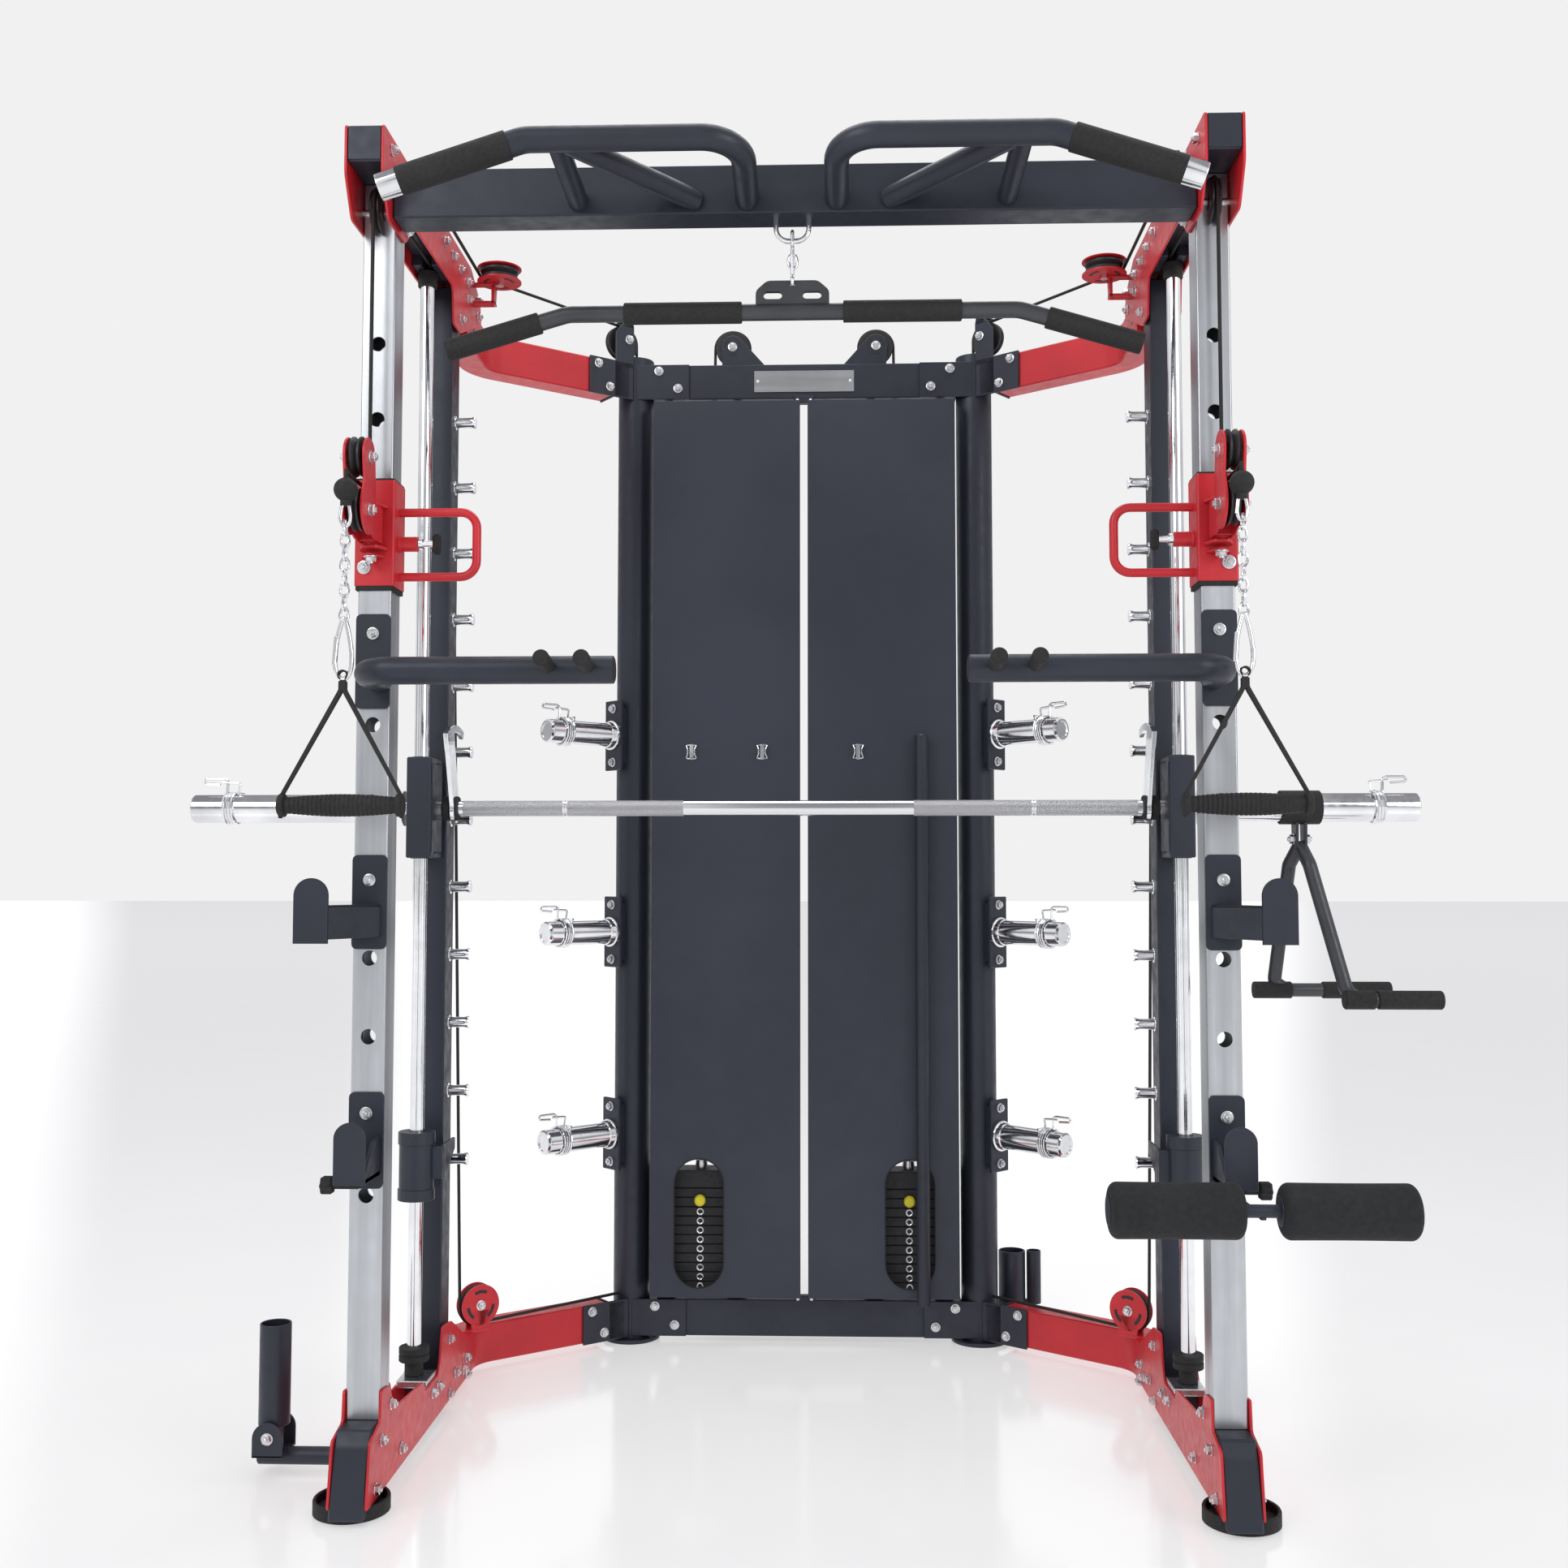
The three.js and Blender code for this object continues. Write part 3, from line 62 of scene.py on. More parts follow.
# a wire carries a socket, so that a sum or a product adds its Math node
class Wire:
    def __init__(self, kit, socket):
        self.kit = kit
        self.socket = socket

    def __add__(self, other):
        return self.kit.maths("ADD", self, other)

    def __sub__(self, other):
        return self.kit.maths("SUBTRACT", self, other)

    def __rsub__(self, other):
        return self.kit.maths("SUBTRACT", other, self)

    def __mul__(self, other):
        return self.kit.maths("MULTIPLY", self, other)

    __radd__ = __add__
    __rmul__ = __mul__


class ShaderKit:
    def __init__(self, owner, surface):
        # the owner is a material or the world
        owner.use_nodes = True
        self.owner = owner
        self.tree = owner.node_tree
        self.surface = self.tree.nodes[surface]

    def node(self, kind, output=0, settings=None, **values):
        made = self.tree.nodes.new(kind)
        for key, value in (settings or {}).items():
            if key == "stops":
                for stop, (position, colour) in zip(made.color_ramp.elements, value):
                    stop.color = colour
                    stop.position = position
            else:
                setattr(made, key, value)
        for key, value in values.items():
            self.feed(made.inputs[key.replace("_", " ")], value)
        return Wire(self, made.outputs[output])

    def feed(self, socket, value):
        if isinstance(value, Wire):
            self.tree.links.new(value.socket, socket)
        else:
            socket.default_value = value

    def maths(self, operation, first, second=0.0):
        made = self.tree.nodes.new("ShaderNodeMath")
        made.operation = operation
        self.feed(made.inputs[0], first)
        self.feed(made.inputs[1], second)
        return Wire(self, made.outputs[0])

    def place(self, stretch=(1, 1, 1), centre=(0, 0, 0)):
        here = self.node("ShaderNodeTexCoord", "Object")
        return self.node("ShaderNodeMapping", Vector=here, Scale=stretch,
                         Location=[-c * k for c, k in zip(centre, stretch)])

    def noise(self, scale, detail=3.0, stretch=(1, 1, 1)):
        return self.node("ShaderNodeTexNoise", "Fac", Vector=self.place(stretch), Scale=scale, Detail=detail)

    def spread(self, value, low, high):
        return self.node("ShaderNodeMapRange", Value=value, From_Min=low, From_Max=high)

    def blend(self, share, first, second):
        made = self.tree.nodes.new("ShaderNodeMix")
        made.data_type = "RGBA"
        self.feed(made.inputs["Factor"], share)
        self.feed(made.inputs[6], first)
        self.feed(made.inputs[7], second)
        return Wire(self, made.outputs[2])

    def bump(self, height, depth, strength=0.6):
        normal = self.node("ShaderNodeBump", Height=height, Distance=depth, Strength=strength)
        self.feed(self.surface.inputs["Normal"], normal)

    def surfaceIs(self, **values):
        for key, value in values.items():
            self.feed(self.surface.inputs[key.replace("_", " ")], value)
        return self.owner


def finishKit(name):
    return ShaderKit(bpy.data.materials.new(name), "Principled BSDF")


def shade(colour, share):
    return tuple(min(1.0, c * share) for c in colour) + (1.0,)


# colour, roughness range, metal, clouding, grain size per metre, bump in metres
paints = {
    "redPaint": dict(colour=(0.6, 0.018, 0.028), rough=(0.3, 0.44), metal=0.0, cloud=6, grain=700,
                     depth=0.00012),
    "blackPaint": dict(colour=(0.028, 0.032, 0.048), rough=(0.34, 0.5), metal=0.25, cloud=5, grain=800,
                       depth=0.00014),
    "panelPaint": dict(colour=(0.035, 0.04, 0.06), rough=(0.42, 0.56), metal=0.2, cloud=2.5, grain=900,
                       depth=0.0001),
    "stackIron": dict(colour=(0.022, 0.023, 0.026), rough=(0.45, 0.65), metal=0.3, cloud=14, grain=420,
                      depth=0.0003),
    "gripRubber": dict(colour=(0.012, 0.012, 0.013), rough=(0.62, 0.8), metal=0.0, cloud=20, grain=900,
                       depth=0.00022),
    "foamSkin": dict(colour=(0.014, 0.015, 0.017), rough=(0.78, 0.92), metal=0.0, cloud=12, grain=380,
                     depth=0.0006),
    "pulleyPlastic": dict(colour=(0.015, 0.015, 0.017), rough=(0.38, 0.5), metal=0.0, cloud=30, grain=600,
                          depth=0.0001),
    "yellowPlastic": dict(colour=(0.72, 0.62, 0.02), rough=(0.25, 0.35), metal=0.0, cloud=40, grain=500,
                          depth=0.00006),
    "chrome": dict(colour=(0.86, 0.87, 0.89), rough=(0.06, 0.16), metal=1.0, cloud=9, grain=300,
                   depth=0.00002),
    "zincBolt": dict(colour=(0.72, 0.73, 0.75), rough=(0.2, 0.36), metal=1.0, cloud=60, grain=900,
                     depth=0.00006),
    "legTube": dict(colour=(0.075, 0.078, 0.085), rough=(0.32, 0.45), metal=0.6, cloud=10, grain=700,
                    depth=0.0001),
}


def paintedFinish(name, look):
    kit = finishKit(name)
    cloud = kit.noise(look["cloud"], 5)
    grain = kit.noise(look["grain"], 2)
    fine = kit.noise(look["cloud"] * 9, 4)
    tone = kit.blend(kit.spread(cloud, 0.3, 0.7), shade(look["colour"], 0.82), shade(look["colour"], 1.12))
    fleck = kit.spread(grain, 0.62, 0.8)
    tone = kit.blend(fleck * 0.35, tone, shade(look["colour"], 1.7))
    low, high = look["rough"]
    rough = kit.spread(fine, 0.3, 0.7) * (high - low) + low
    kit.bump(grain, look["depth"])
    return kit.surfaceIs(Base_Color=tone, Roughness=rough, Metallic=look["metal"])


def brushedFinish(name, stretch, tone):
    kit = finishKit(name)
    lines = kit.noise(60, 4, stretch)
    sheets = kit.noise(3.2, 3, (1, 1, 0.35))
    spangle = kit.node("ShaderNodeTexVoronoi", "Distance", Vector=kit.place((1, 1, 0.6)), Scale=55.0)
    metal = kit.blend(kit.spread(lines * 0.6 + sheets * 0.4, 0.3, 0.7), shade(tone, 0.7), shade(tone, 1.15))
    metal = kit.blend(kit.spread(spangle, 0.2, 0.7) * 0.25, metal, shade(tone, 0.8))
    kit.bump(lines, 0.00008, 0.4)
    rough = kit.spread(sheets, 0.3, 0.7) * 0.16 + 0.24
    return kit.surfaceIs(Base_Color=metal, Roughness=rough, Metallic=0.95)


def knurledFinish(name, sizes):
    # diamond knurl cut into the bar in two long bands, with a plain ring in each
    kit = finishKit(name)
    split = kit.node("ShaderNodeSeparateXYZ", Vector=kit.place(centre=sizes["axis"])).socket.node
    x, y, z = (Wire(kit, out) for out in split.outputs)
    around = kit.maths("ARCTAN2", z, y) * sizes["turns"]
    along = x * sizes["pitch"]
    first = kit.maths("SINE", around + along)
    second = kit.maths("SINE", around - along)
    away = kit.maths("ABSOLUTE", x)
    before = kit.maths("LESS_THAN", away, sizes["bandEnd"])
    inside = before * kit.maths("GREATER_THAN", away, sizes["bandStart"])
    ring = kit.maths("LESS_THAN", kit.maths("ABSOLUTE", away - sizes["ring"]), sizes["ringHalf"])
    band = inside * (1 - ring)
    cut = kit.maths("MAXIMUM", first, second) * band
    kit.bump(cut, 0.0007, 0.9)
    low = shade((0.5, 0.51, 0.53), 1)
    tone = kit.blend(band * kit.spread(cut, -0.2, 1.0), shade((0.8, 0.81, 0.83), 1), low)
    return kit.surfaceIs(Base_Color=tone, Roughness=band * 0.22 + 0.12, Metallic=1.0)


def ribbedFinish(name, colour, pitch, depth):
    # fine ribs along the height: webbing and the wound sheath of a cable
    kit = finishKit(name)
    wave = kit.node("ShaderNodeTexWave", "Fac", {"wave_type": "BANDS", "bands_direction": "DIAGONAL"},
                    Vector=kit.place(), Scale=pitch, Distortion=0.4, Detail=1.0)
    # the tone follows the rib height: a painted highlight on the crests and painted shade in the grooves
    tone = kit.blend(wave, shade(colour, 0.7), shade(colour, 1.5))
    kit.bump(wave, depth)
    return kit.surfaceIs(Base_Color=tone, Roughness=wave * 0.15 + 0.6, Metallic=0.0)


finishes = {name: paintedFinish(name, look) for name, look in paints.items()}
finishes["brushedSteel"] = brushedFinish("brushedSteel", (1, 1, 0.03), (0.58, 0.6, 0.63))
finishes["namePlate"] = brushedFinish("namePlate", (0.05, 1, 1), (0.5, 0.51, 0.53))
finishes["knurledChrome"] = knurledFinish("knurledChrome", dict(
    axis=tuple(spot(0, 366, 1086)), turns=26.0, pitch=1850.0, bandStart=0.205, bandEnd=0.6, ring=0.417,
    ringHalf=0.004))
finishes["webbing"] = ribbedFinish("webbing", (0.012, 0.012, 0.012), 260.0, 0.0003)
finishes["cableSheath"] = ribbedFinish("cableSheath", (0.01, 0.01, 0.01), 190.0, 0.0002)
print("finishes made")


# outlines and routes, as lists of points in mm
def arc(centre, radius, start, end, steps):
    turns = [math.radians(start + (end - start) * i / steps) for i in range(steps + 1)]
    return [(centre[0] + radius * math.cos(t), centre[1] + radius * math.sin(t)) for t in turns]


def roundedRect(a0, a1, b0, b1, radius):
    a0, a1 = sorted((a0, a1))
    b0, b1 = sorted((b0, b1))
    r = min(radius, (a1 - a0) / 2.01, (b1 - b0) / 2.01)
    corners = ((a1 - r, b1 - r, 0), (a0 + r, b1 - r, 90), (a0 + r, b0 + r, 180), (a1 - r, b0 + r, 270))
    return [point for a, b, turn in corners for point in arc((a, b), r, turn, turn + 90, 3)]


def shrunk(points, step):
    # every corner moves in along its bisector
    area = sum(p[0] * q[1] - q[0] * p[1] for p, q in zip(points, points[1:] + points[:1]))
    way = 1 if area > 0 else -1
    inner = []
    for i, here in enumerate(points):
        before, after = Vector(points[i - 1]), Vector(points[(i + 1) % len(points)])
        here = Vector(here)
        into, out = (here - before).normalized(), (after - here).normalized()
        left = Vector((-into.y - out.y, into.x + out.x))
        size = max(left.length, 0.7)
        inner.append(tuple(here + left.normalized() * (way * step * 2 / size)))
    return inner


def bentRoute(corners, bend, steps):
    points = [Vector(c) for c in corners]
    route = [points[0]]
    for before, here, after in zip(points, points[1:], points[2:]):
        back, ahead = (before - here).normalized(), (after - here).normalized()
        half = back.angle(ahead) / 2
        if half > 1.56:
            route.append(here)
            continue
        reach = bend / math.tan(half)
        centre = here + (back + ahead).normalized() * (bend / math.sin(half))
        start, end = here + back * reach - centre, here + ahead * reach - centre
        sweep = start.angle(end)
        for k in range(steps + 1):
            t = k / steps
            swung = start * math.sin((1 - t) * sweep) + end * math.sin(t * sweep)
            route.append(centre + swung / math.sin(sweep))
    route.append(points[-1])
    return route


class Shape:
    def __init__(self):
        self.mesh = bmesh.new()

    def rings(self, loops, closed=False):
        rows = [[self.mesh.verts.new(spot(*p)) for p in loop] for loop in loops]
        pairs = list(zip(rows, rows[1:]))
        if closed:
            pairs.append((rows[-1], rows[0]))
        for low, high in pairs:
            for i in range(len(low)):
                j = (i + 1) % len(low)
                self.mesh.faces.new((low[i], low[j], high[j], high[i]))
        if not closed:
            self.mesh.faces.new(rows[0][::-1])
            self.mesh.faces.new(rows[-1])
        return self

    def flat(self, points, origin, across, up, depth, edge=1.0):
        # an outline drawn in two directions and given a thickness
        origin, across, up = Vector(origin), Vector(across), Vector(up)
        out = across.cross(up).normalized()
        inner = shrunk(points, edge) if edge else points
        way = 1 if depth > 0 else -1
        levels = [(inner, 0), (points, edge * way), (points, depth - edge * way), (inner, depth)]
        if not edge:
            levels = [(points, 0), (points, depth)]
        return self.rings([[origin + across * a + up * b + out * h for a, b in ring] for ring, h in levels])

    def plateX(self, points, x0, x1, edge=0.8):
        return self.flat(points, (min(x0, x1), 0, 0), (0, 1, 0), (0, 0, 1), abs(x1 - x0), edge)

    def plateY(self, points, y0, y1, edge=0.8):
        return self.flat(points, (0, max(y0, y1), 0), (1, 0, 0), (0, 0, 1), abs(y1 - y0), edge)

    def plateZ(self, points, z0, z1, edge=0.8):
        return self.flat(points, (0, 0, min(z0, z1)), (1, 0, 0), (0, 1, 0), abs(z1 - z0), edge)

    def block(self, x0, x1, y0, y1, z0, z1, edge=1.5):
        spans = [abs(x1 - x0), abs(y1 - y0), abs(z1 - z0)]
        edge = min(edge, min(spans) / 4)
        if spans[0] >= max(spans):
            return self.plateX(roundedRect(y0, y1, z0, z1, edge), x0, x1, edge)
        if spans[1] >= max(spans):
            return self.plateY(roundedRect(x0, x1, z0, z1, edge), y0, y1, edge)
        return self.plateZ(roundedRect(x0, x1, y0, y1, edge), z0, z1, edge)

    def lathe(self, start, end, profile, count=32, closed=False):
        # profile rows are (distance from the start, radius)
        start, end = Vector(start), Vector(end)
        along = (end - start).normalized()
        side = along.orthogonal().normalized()
        over = along.cross(side)
        loops = []
        for distance, radius in profile:
            turns = [2 * math.pi * i / count for i in range(count)]
            loops.append([start + along * distance + (side * math.cos(t) + over * math.sin(t)) * radius
                          for t in turns])
        return self.rings(loops, closed)

    def rod(self, start, end, radius, count=28, edge=0.8):
        length = (Vector(end) - Vector(start)).length
        edge = min(edge, radius / 3, length / 3)
        return self.lathe(start, end, [(0, radius - edge), (edge, radius), (length - edge, radius),
                                       (length, radius - edge)], count)

    def pipe(self, corners, radius, bend, count=20, steps=8, tip=1.0, loop=False):
        route = bentRoute(corners, bend, steps)
        if not loop and tip:
            tip = min(tip, radius / 2)
            first = route[0] + (route[1] - route[0]).normalized() * tip
            last = route[-1] + (route[-2] - route[-1]).normalized() * tip
            route = [route[0], first] + route[1:-1] + [last, route[-1]]
        side = None
        loops = []
        for i, here in enumerate(route):
            before = route[i - 1] if i or loop else here
            after = route[(i + 1) % len(route)] if i < len(route) - 1 or loop else here
            along = (after - before).normalized()
            side = (along.orthogonal() if side is None else side - along * side.dot(along)).normalized()
            over = along.cross(side)
            thick = radius - tip if tip and not loop and i in (0, len(route) - 1) else radius
            turns = [2 * math.pi * k / count for k in range(count)]
            loops.append([here + (side * math.cos(t) + over * math.sin(t)) * thick for t in turns])
        return self.rings(loops, loop)

    def sleeve(self, outer, inner, z0, z1, edge=0.8):
        levels = [(outer, z0 + edge), (outer, z1 - edge), (shrunk(outer, edge), z1), (inner, z1), (inner, z0),
                  (shrunk(outer, edge), z0)]
        return self.rings([[Vector((a, b, z)) for a, b in ring] for ring, z in levels], True)

    def moved(self, matrix):
        # matrix works in mm in the same axes as the sizes
        shift = Matrix.Translation(spot(0, 0, 0)) @ Matrix.Scale(0.001, 4)
        bmesh.ops.transform(self.mesh, matrix=shift @ matrix @ shift.inverted(), verts=self.mesh.verts)
        return self

    def mirrored(self, s):
        if s < 0:
            for vert in self.mesh.verts:
                vert.co.x = -vert.co.x
        return self

    def join(self, other):
        part = bpy.data.meshes.new("part")
        other.mesh.to_mesh(part)
        self.mesh.from_mesh(part)
        bpy.data.meshes.remove(part)
        other.mesh.free()
        return self

    def object(self, name):
        bmesh.ops.recalc_face_normals(self.mesh, faces=self.mesh.faces)
        data = bpy.data.meshes.new(name)
        self.mesh.to_mesh(data)
        self.mesh.free()
        made = bpy.data.objects.new(name, data)
        bpy.context.scene.collection.objects.link(made)
        return made

    def carved(self, tool):
        whole, cutter = self.object("whole"), tool.object("cutter")
        step = whole.modifiers.new("cut", "BOOLEAN")
        step.object, step.solver, step.operation = cutter, "EXACT", "DIFFERENCE"
        step.use_self = True
        bpy.context.view_layer.update()
        seen = whole.evaluated_get(bpy.context.evaluated_depsgraph_get())
        data = bpy.data.meshes.new_from_object(seen)
        self.mesh = bmesh.new()
        self.mesh.from_mesh(data)
        for item in (whole, cutter):
            bpy.data.objects.remove(item)
        bpy.data.meshes.remove(data)
        return self


def settle(made, finish, body, nodes=(), smooth=38):
    data = made.data
    data.materials.clear()
    data.materials.append(finishes[finish])
    data.shade_smooth()
    data.set_sharp_from_angle(angle=math.radians(smooth))
    even = made.modifiers.new("evenNormals", "WEIGHTED_NORMAL")
    even.keep_sharp = True
    if body:
        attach(made, body)
    if nodes:
        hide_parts(*nodes)
    return made


def piece(name, shape, finish, body="frame", nodes=(), smooth=38):
    return settle(shape.object(name), finish, body, nodes, smooth)


# one tree copies bolts, pegs, chain links and weight plates on points
def copiesTree():
    tree = bpy.data.node_groups.new("copiesOnPoints", "GeometryNodeTree")
    face = tree.interface
    face.new_socket("Geometry", in_out="INPUT", socket_type="NodeSocketGeometry")
    face.new_socket("Copied Piece", in_out="INPUT", socket_type="NodeSocketObject")
    face.new_socket("Size", in_out="INPUT", socket_type="NodeSocketFloat").default_value = 1.0
    face.new_socket("Turn Per Copy", in_out="INPUT", socket_type="NodeSocketFloat")
    face.new_socket("Random Turn", in_out="INPUT", socket_type="NodeSocketFloat")
    face.new_socket("Seed", in_out="INPUT", socket_type="NodeSocketInt").default_value = 7
    face.new_socket("Finish", in_out="INPUT", socket_type="NodeSocketMaterial")
    face.new_socket("Geometry", in_out="OUTPUT", socket_type="NodeSocketGeometry")
    new, link = tree.nodes.new, tree.links.new
    given, result = new("NodeGroupInput"), new("NodeGroupOutput")
    copied = new("GeometryNodeObjectInfo")
    link(given.outputs["Copied Piece"], copied.inputs["Object"])
    facing = new("GeometryNodeInputNamedAttribute")
    facing.data_type = "FLOAT_VECTOR"
    facing.inputs["Name"].default_value = "facing"
    aim = new("FunctionNodeAlignRotationToVector")
    aim.axis = "Z"
    link(facing.outputs["Attribute"], aim.inputs["Vector"])
    index = new("GeometryNodeInputIndex")
    chance = new("FunctionNodeRandomValue")
    chance.data_type = "FLOAT"
    link(given.outputs["Seed"], chance.inputs["Seed"])
    link(given.outputs["Random Turn"], chance.inputs[3])
    turn = new("ShaderNodeMath")
    turn.operation = "MULTIPLY_ADD"
    link(index.outputs[0], turn.inputs[0])
    link(given.outputs["Turn Per Copy"], turn.inputs[1])
    link(chance.outputs[1], turn.inputs[2])
    spin = new("FunctionNodeAxisAngleToRotation")
    spin.inputs["Axis"].default_value = (0, 0, 1)
    link(turn.outputs[0], spin.inputs["Angle"])
    both = new("FunctionNodeRotateRotation")
    both.rotation_space = "LOCAL"
    link(aim.outputs[0], both.inputs[0])
    link(spin.outputs[0], both.inputs[1])
    placed = new("GeometryNodeInstanceOnPoints")
    link(given.outputs["Geometry"], placed.inputs["Points"])
    link(copied.outputs["Geometry"], placed.inputs["Instance"])
    link(both.outputs[0], placed.inputs["Rotation"])
    link(given.outputs["Size"], placed.inputs["Scale"])
    real = new("GeometryNodeRealizeInstances")
    link(placed.outputs[0], real.inputs[0])
    coat = new("GeometryNodeSetMaterial")
    link(real.outputs[0], coat.inputs["Geometry"])
    link(given.outputs["Finish"], coat.inputs["Material"])
    link(coat.outputs[0], result.inputs[0])
    return tree


copyTree = copiesTree()
socketOf = {item.name: item.identifier for item in copyTree.interface.items_tree if item.in_out == "INPUT"}


def copies(name, template, places, finish, body="frame", size=1.0, turnPerCopy=0.0, randomTurn=0.0):
    # places are (point in mm, direction); the copied piece is drawn at the origin, up its own Z
    points = bpy.data.meshes.new(name)
    points.from_pydata([spot(*point) for point, facing in places], [], [])
    stored = points.attributes.new("facing", "FLOAT_VECTOR", "POINT")
    for i, (point, facing) in enumerate(places):
        stored.data[i].vector = Vector(facing)
    holder = bpy.data.objects.new(name, points)
    bpy.context.scene.collection.objects.link(holder)
    source = template.moved(Matrix.Translation((0, -frontFace, 0))).object(name + "One")
    source.data.shade_smooth()
    source.data.set_sharp_from_angle(angle=math.radians(32))
    step = holder.modifiers.new("copies", "NODES")
    step.node_group = copyTree
    wanted = {"Copied Piece": source, "Size": size, "Turn Per Copy": turnPerCopy, "Random Turn": randomTurn,
              "Finish": finishes[finish]}
    for key, value in wanted.items():
        step[socketOf[key]] = value
    seen = holder.evaluated_get(bpy.context.evaluated_depsgraph_get())
    data = bpy.data.meshes.new_from_object(seen)
    made = bpy.data.objects.new(name, data)
    bpy.data.objects.remove(holder)
    bpy.data.objects.remove(source)
    made.name = name
    bpy.context.scene.collection.objects.link(made)
    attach(made, body)
    return made


boltSizes = dict(across=19, head=9, washer=13.5, washerThick=2, stud=5.5, studLong=4)


def boltShape(sizes):
    hexagon = [(sizes["across"] / 1.732 * math.cos(math.radians(60 * i)),
                sizes["across"] / 1.732 * math.sin(math.radians(60 * i))) for i in range(6)]
    top = sizes["washerThick"] + sizes["head"]
    shape = Shape().lathe((0, 0, 0), (0, 0, 1), [(0, sizes["washer"] - 0.4), (0.4, sizes["washer"]),
                          (sizes["washerThick"] - 0.4, sizes["washer"]),
                                                 (sizes["washerThick"], sizes["washer"] - 1)], 20)
    shape.flat(hexagon, (0, 0, sizes["washerThick"] - 0.2), (1, 0, 0), (0, 1, 0), sizes["head"], 1.2)
    return shape.lathe((0, 0, top - 2), (0, 0, top),
                       [(0, sizes["stud"]), (2 + sizes["studLong"] - 1, sizes["stud"]),
                       (2 + sizes["studLong"], sizes["stud"] - 1.5)], 14)


frameSizes = dict(half=662, tube=53, wall=3, plate=4, top=2131, beamHigh=58,
                  footTop=130, holeFirst=471, holeStep=122, holeCount=12, hole=24)
half = frameSizes["half"]
tubeHalf = frameSizes["tube"] / 2
inner, outer = half - tubeHalf, half + tubeHalf
beamBottom = frameSizes["top"] - frameSizes["beamHigh"]
bolts = []  # every bolt on the fixed frame: (point, direction)


def boltRow(places, direction):
    bolts.extend((place, direction) for place in places)


def makeUpright(side, s):
    size, wall = frameSizes, frameSizes["wall"]
    shell = Shape().sleeve(roundedRect(s * inner, s * outer, 0, size["tube"], 3),
                           roundedRect(s * (inner + wall), s * (outer - wall), wall, size["tube"] - wall,
                                       1.5), size["footTop"] + 0.3,
                           beamBottom - 0.3)
    holes = Shape()
    for i in range(size["holeCount"]):
        z = size["holeFirst"] + i * size["holeStep"]
        holes.rod((s * half, -5, z), (s * half, 60, z), size["hole"] / 2, 32, 0.1)
    room = Shape().block(s * (inner - 2), s * (outer + 2), -2, 45, 1982, beamBottom + 2, 0.1)
    slot = Shape().block(s * (half - 8), s * (half + 8), 44, 56, 2040, beamBottom + 2, 0.1)
    for tool in (holes, room, slot):
        shell.carved(tool)
    piece(f"{side}Upright", shell, "brushedSteel", nodes=[f"{side}_front_upright"])


topPlate = [(-92, 2131), (-92, 2053), (-55, 1992), (42, 1992), (100, 2043), (368, 2043), (378, 1976),
            (430, 1976), (600, 2048), (590, 2091), (508, 2131)]
basePlate = [(-79, 22), (-62, 118), (-9, 130), (-4, 176), (44, 170), (64, 127), (250, 112), (262, 92),
             (352, 92),
             (366, 112), (381, 168), (447, 160), (588, 90), (600, 22)]
topBolts = [(-45, 2109), (45, 2120), (51, 2017), (301, 2101), (359, 2097), (416, 2093), (482, 2093),
            (484, 2061),
            (566, 2088), (427, 2002), (567, 2056), (1, 2043)]
baseBolts = [(47, 140), (-5, 102), (108, 51), (-35, 39), (434, 34), (478, 59), (543, 44), (570, 28),
             (431, 132),
             (565, 61), (310, 74), (350, 74)]
armSizes = dict(columnX=364, columnY=925, turn=37.8, bend=95, start=500, endGap=76, high=75, top=2060,
                baseTop=88)
columnX, columnY = armSizes["columnX"], armSizes["columnY"]
beamLows = [armSizes[key] - armSizes["high"] for key in ("top", "baseTop")]
armCos, armSin = math.cos(math.radians(armSizes["turn"])), math.sin(math.radians(armSizes["turn"]))


def armPoint(s, along, sideways, z):
    # a point along the bent arm, measured from the column's axis
    return (s * (columnX + along * armCos + sideways * armSin), columnY - along * armSin + sideways * armCos,
            z)


def armShape(s, top):
    reach = (half - columnX) / armCos
    corners = [(s * half, armSizes["start"], 0), (s * half, columnY - reach * armSin, 0),
               armPoint(s, armSizes["endGap"], 0, 0)]
    route = bentRoute(corners, armSizes["bend"], 10)
    low, high = [], []
    for i, here in enumerate(route):
        along = (route[min(i + 1, len(route) - 1)] - route[max(i - 1, 0)]).normalized()
        low.append((here.x - along.y * tubeHalf, here.y + along.x * tubeHalf))
        high.append((here.x + along.y * tubeHalf, here.y - along.x * tubeHalf))
    return Shape().plateZ(low + high[::-1], top - armSizes["high"], top, 2.5)


def roundedOutline(points, radius, steps=3):
    route = []
    for i, here in enumerate(points):
        before, after = Vector(points[i - 1]), Vector(points[(i + 1) % len(points)])
        here = Vector(here)
        back, ahead = (before - here), (after - here)
        reach = min(radius, back.length * 0.45, ahead.length * 0.45)
        a, b = here + back.normalized() * reach, here + ahead.normalized() * reach
        for k in range(steps + 1):
            t = k / steps
            route.append(tuple(a * (1 - t) ** 2 + here * 2 * t * (1 - t) + b * t * t))
    return route


def slotArcs(shape, centre, across, up, out, radius, count=3, first=90):
    # curved slots of a pulley cover, seen as dark bands just proud of it: the wheel's own black behind each
    # slot, with painted shade standing in for the opening
    for k in range(count):
        mid = first + 360 / count * k
        band = arc((0, 0), radius, mid - 27, mid + 27, 8) + arc((0, 0), radius * 0.8, mid + 27, mid - 27, 8)
        shape.flat(band, Vector(centre) + Vector(out) * 0.2, across, up, 0.5, 0.15)
    return shape


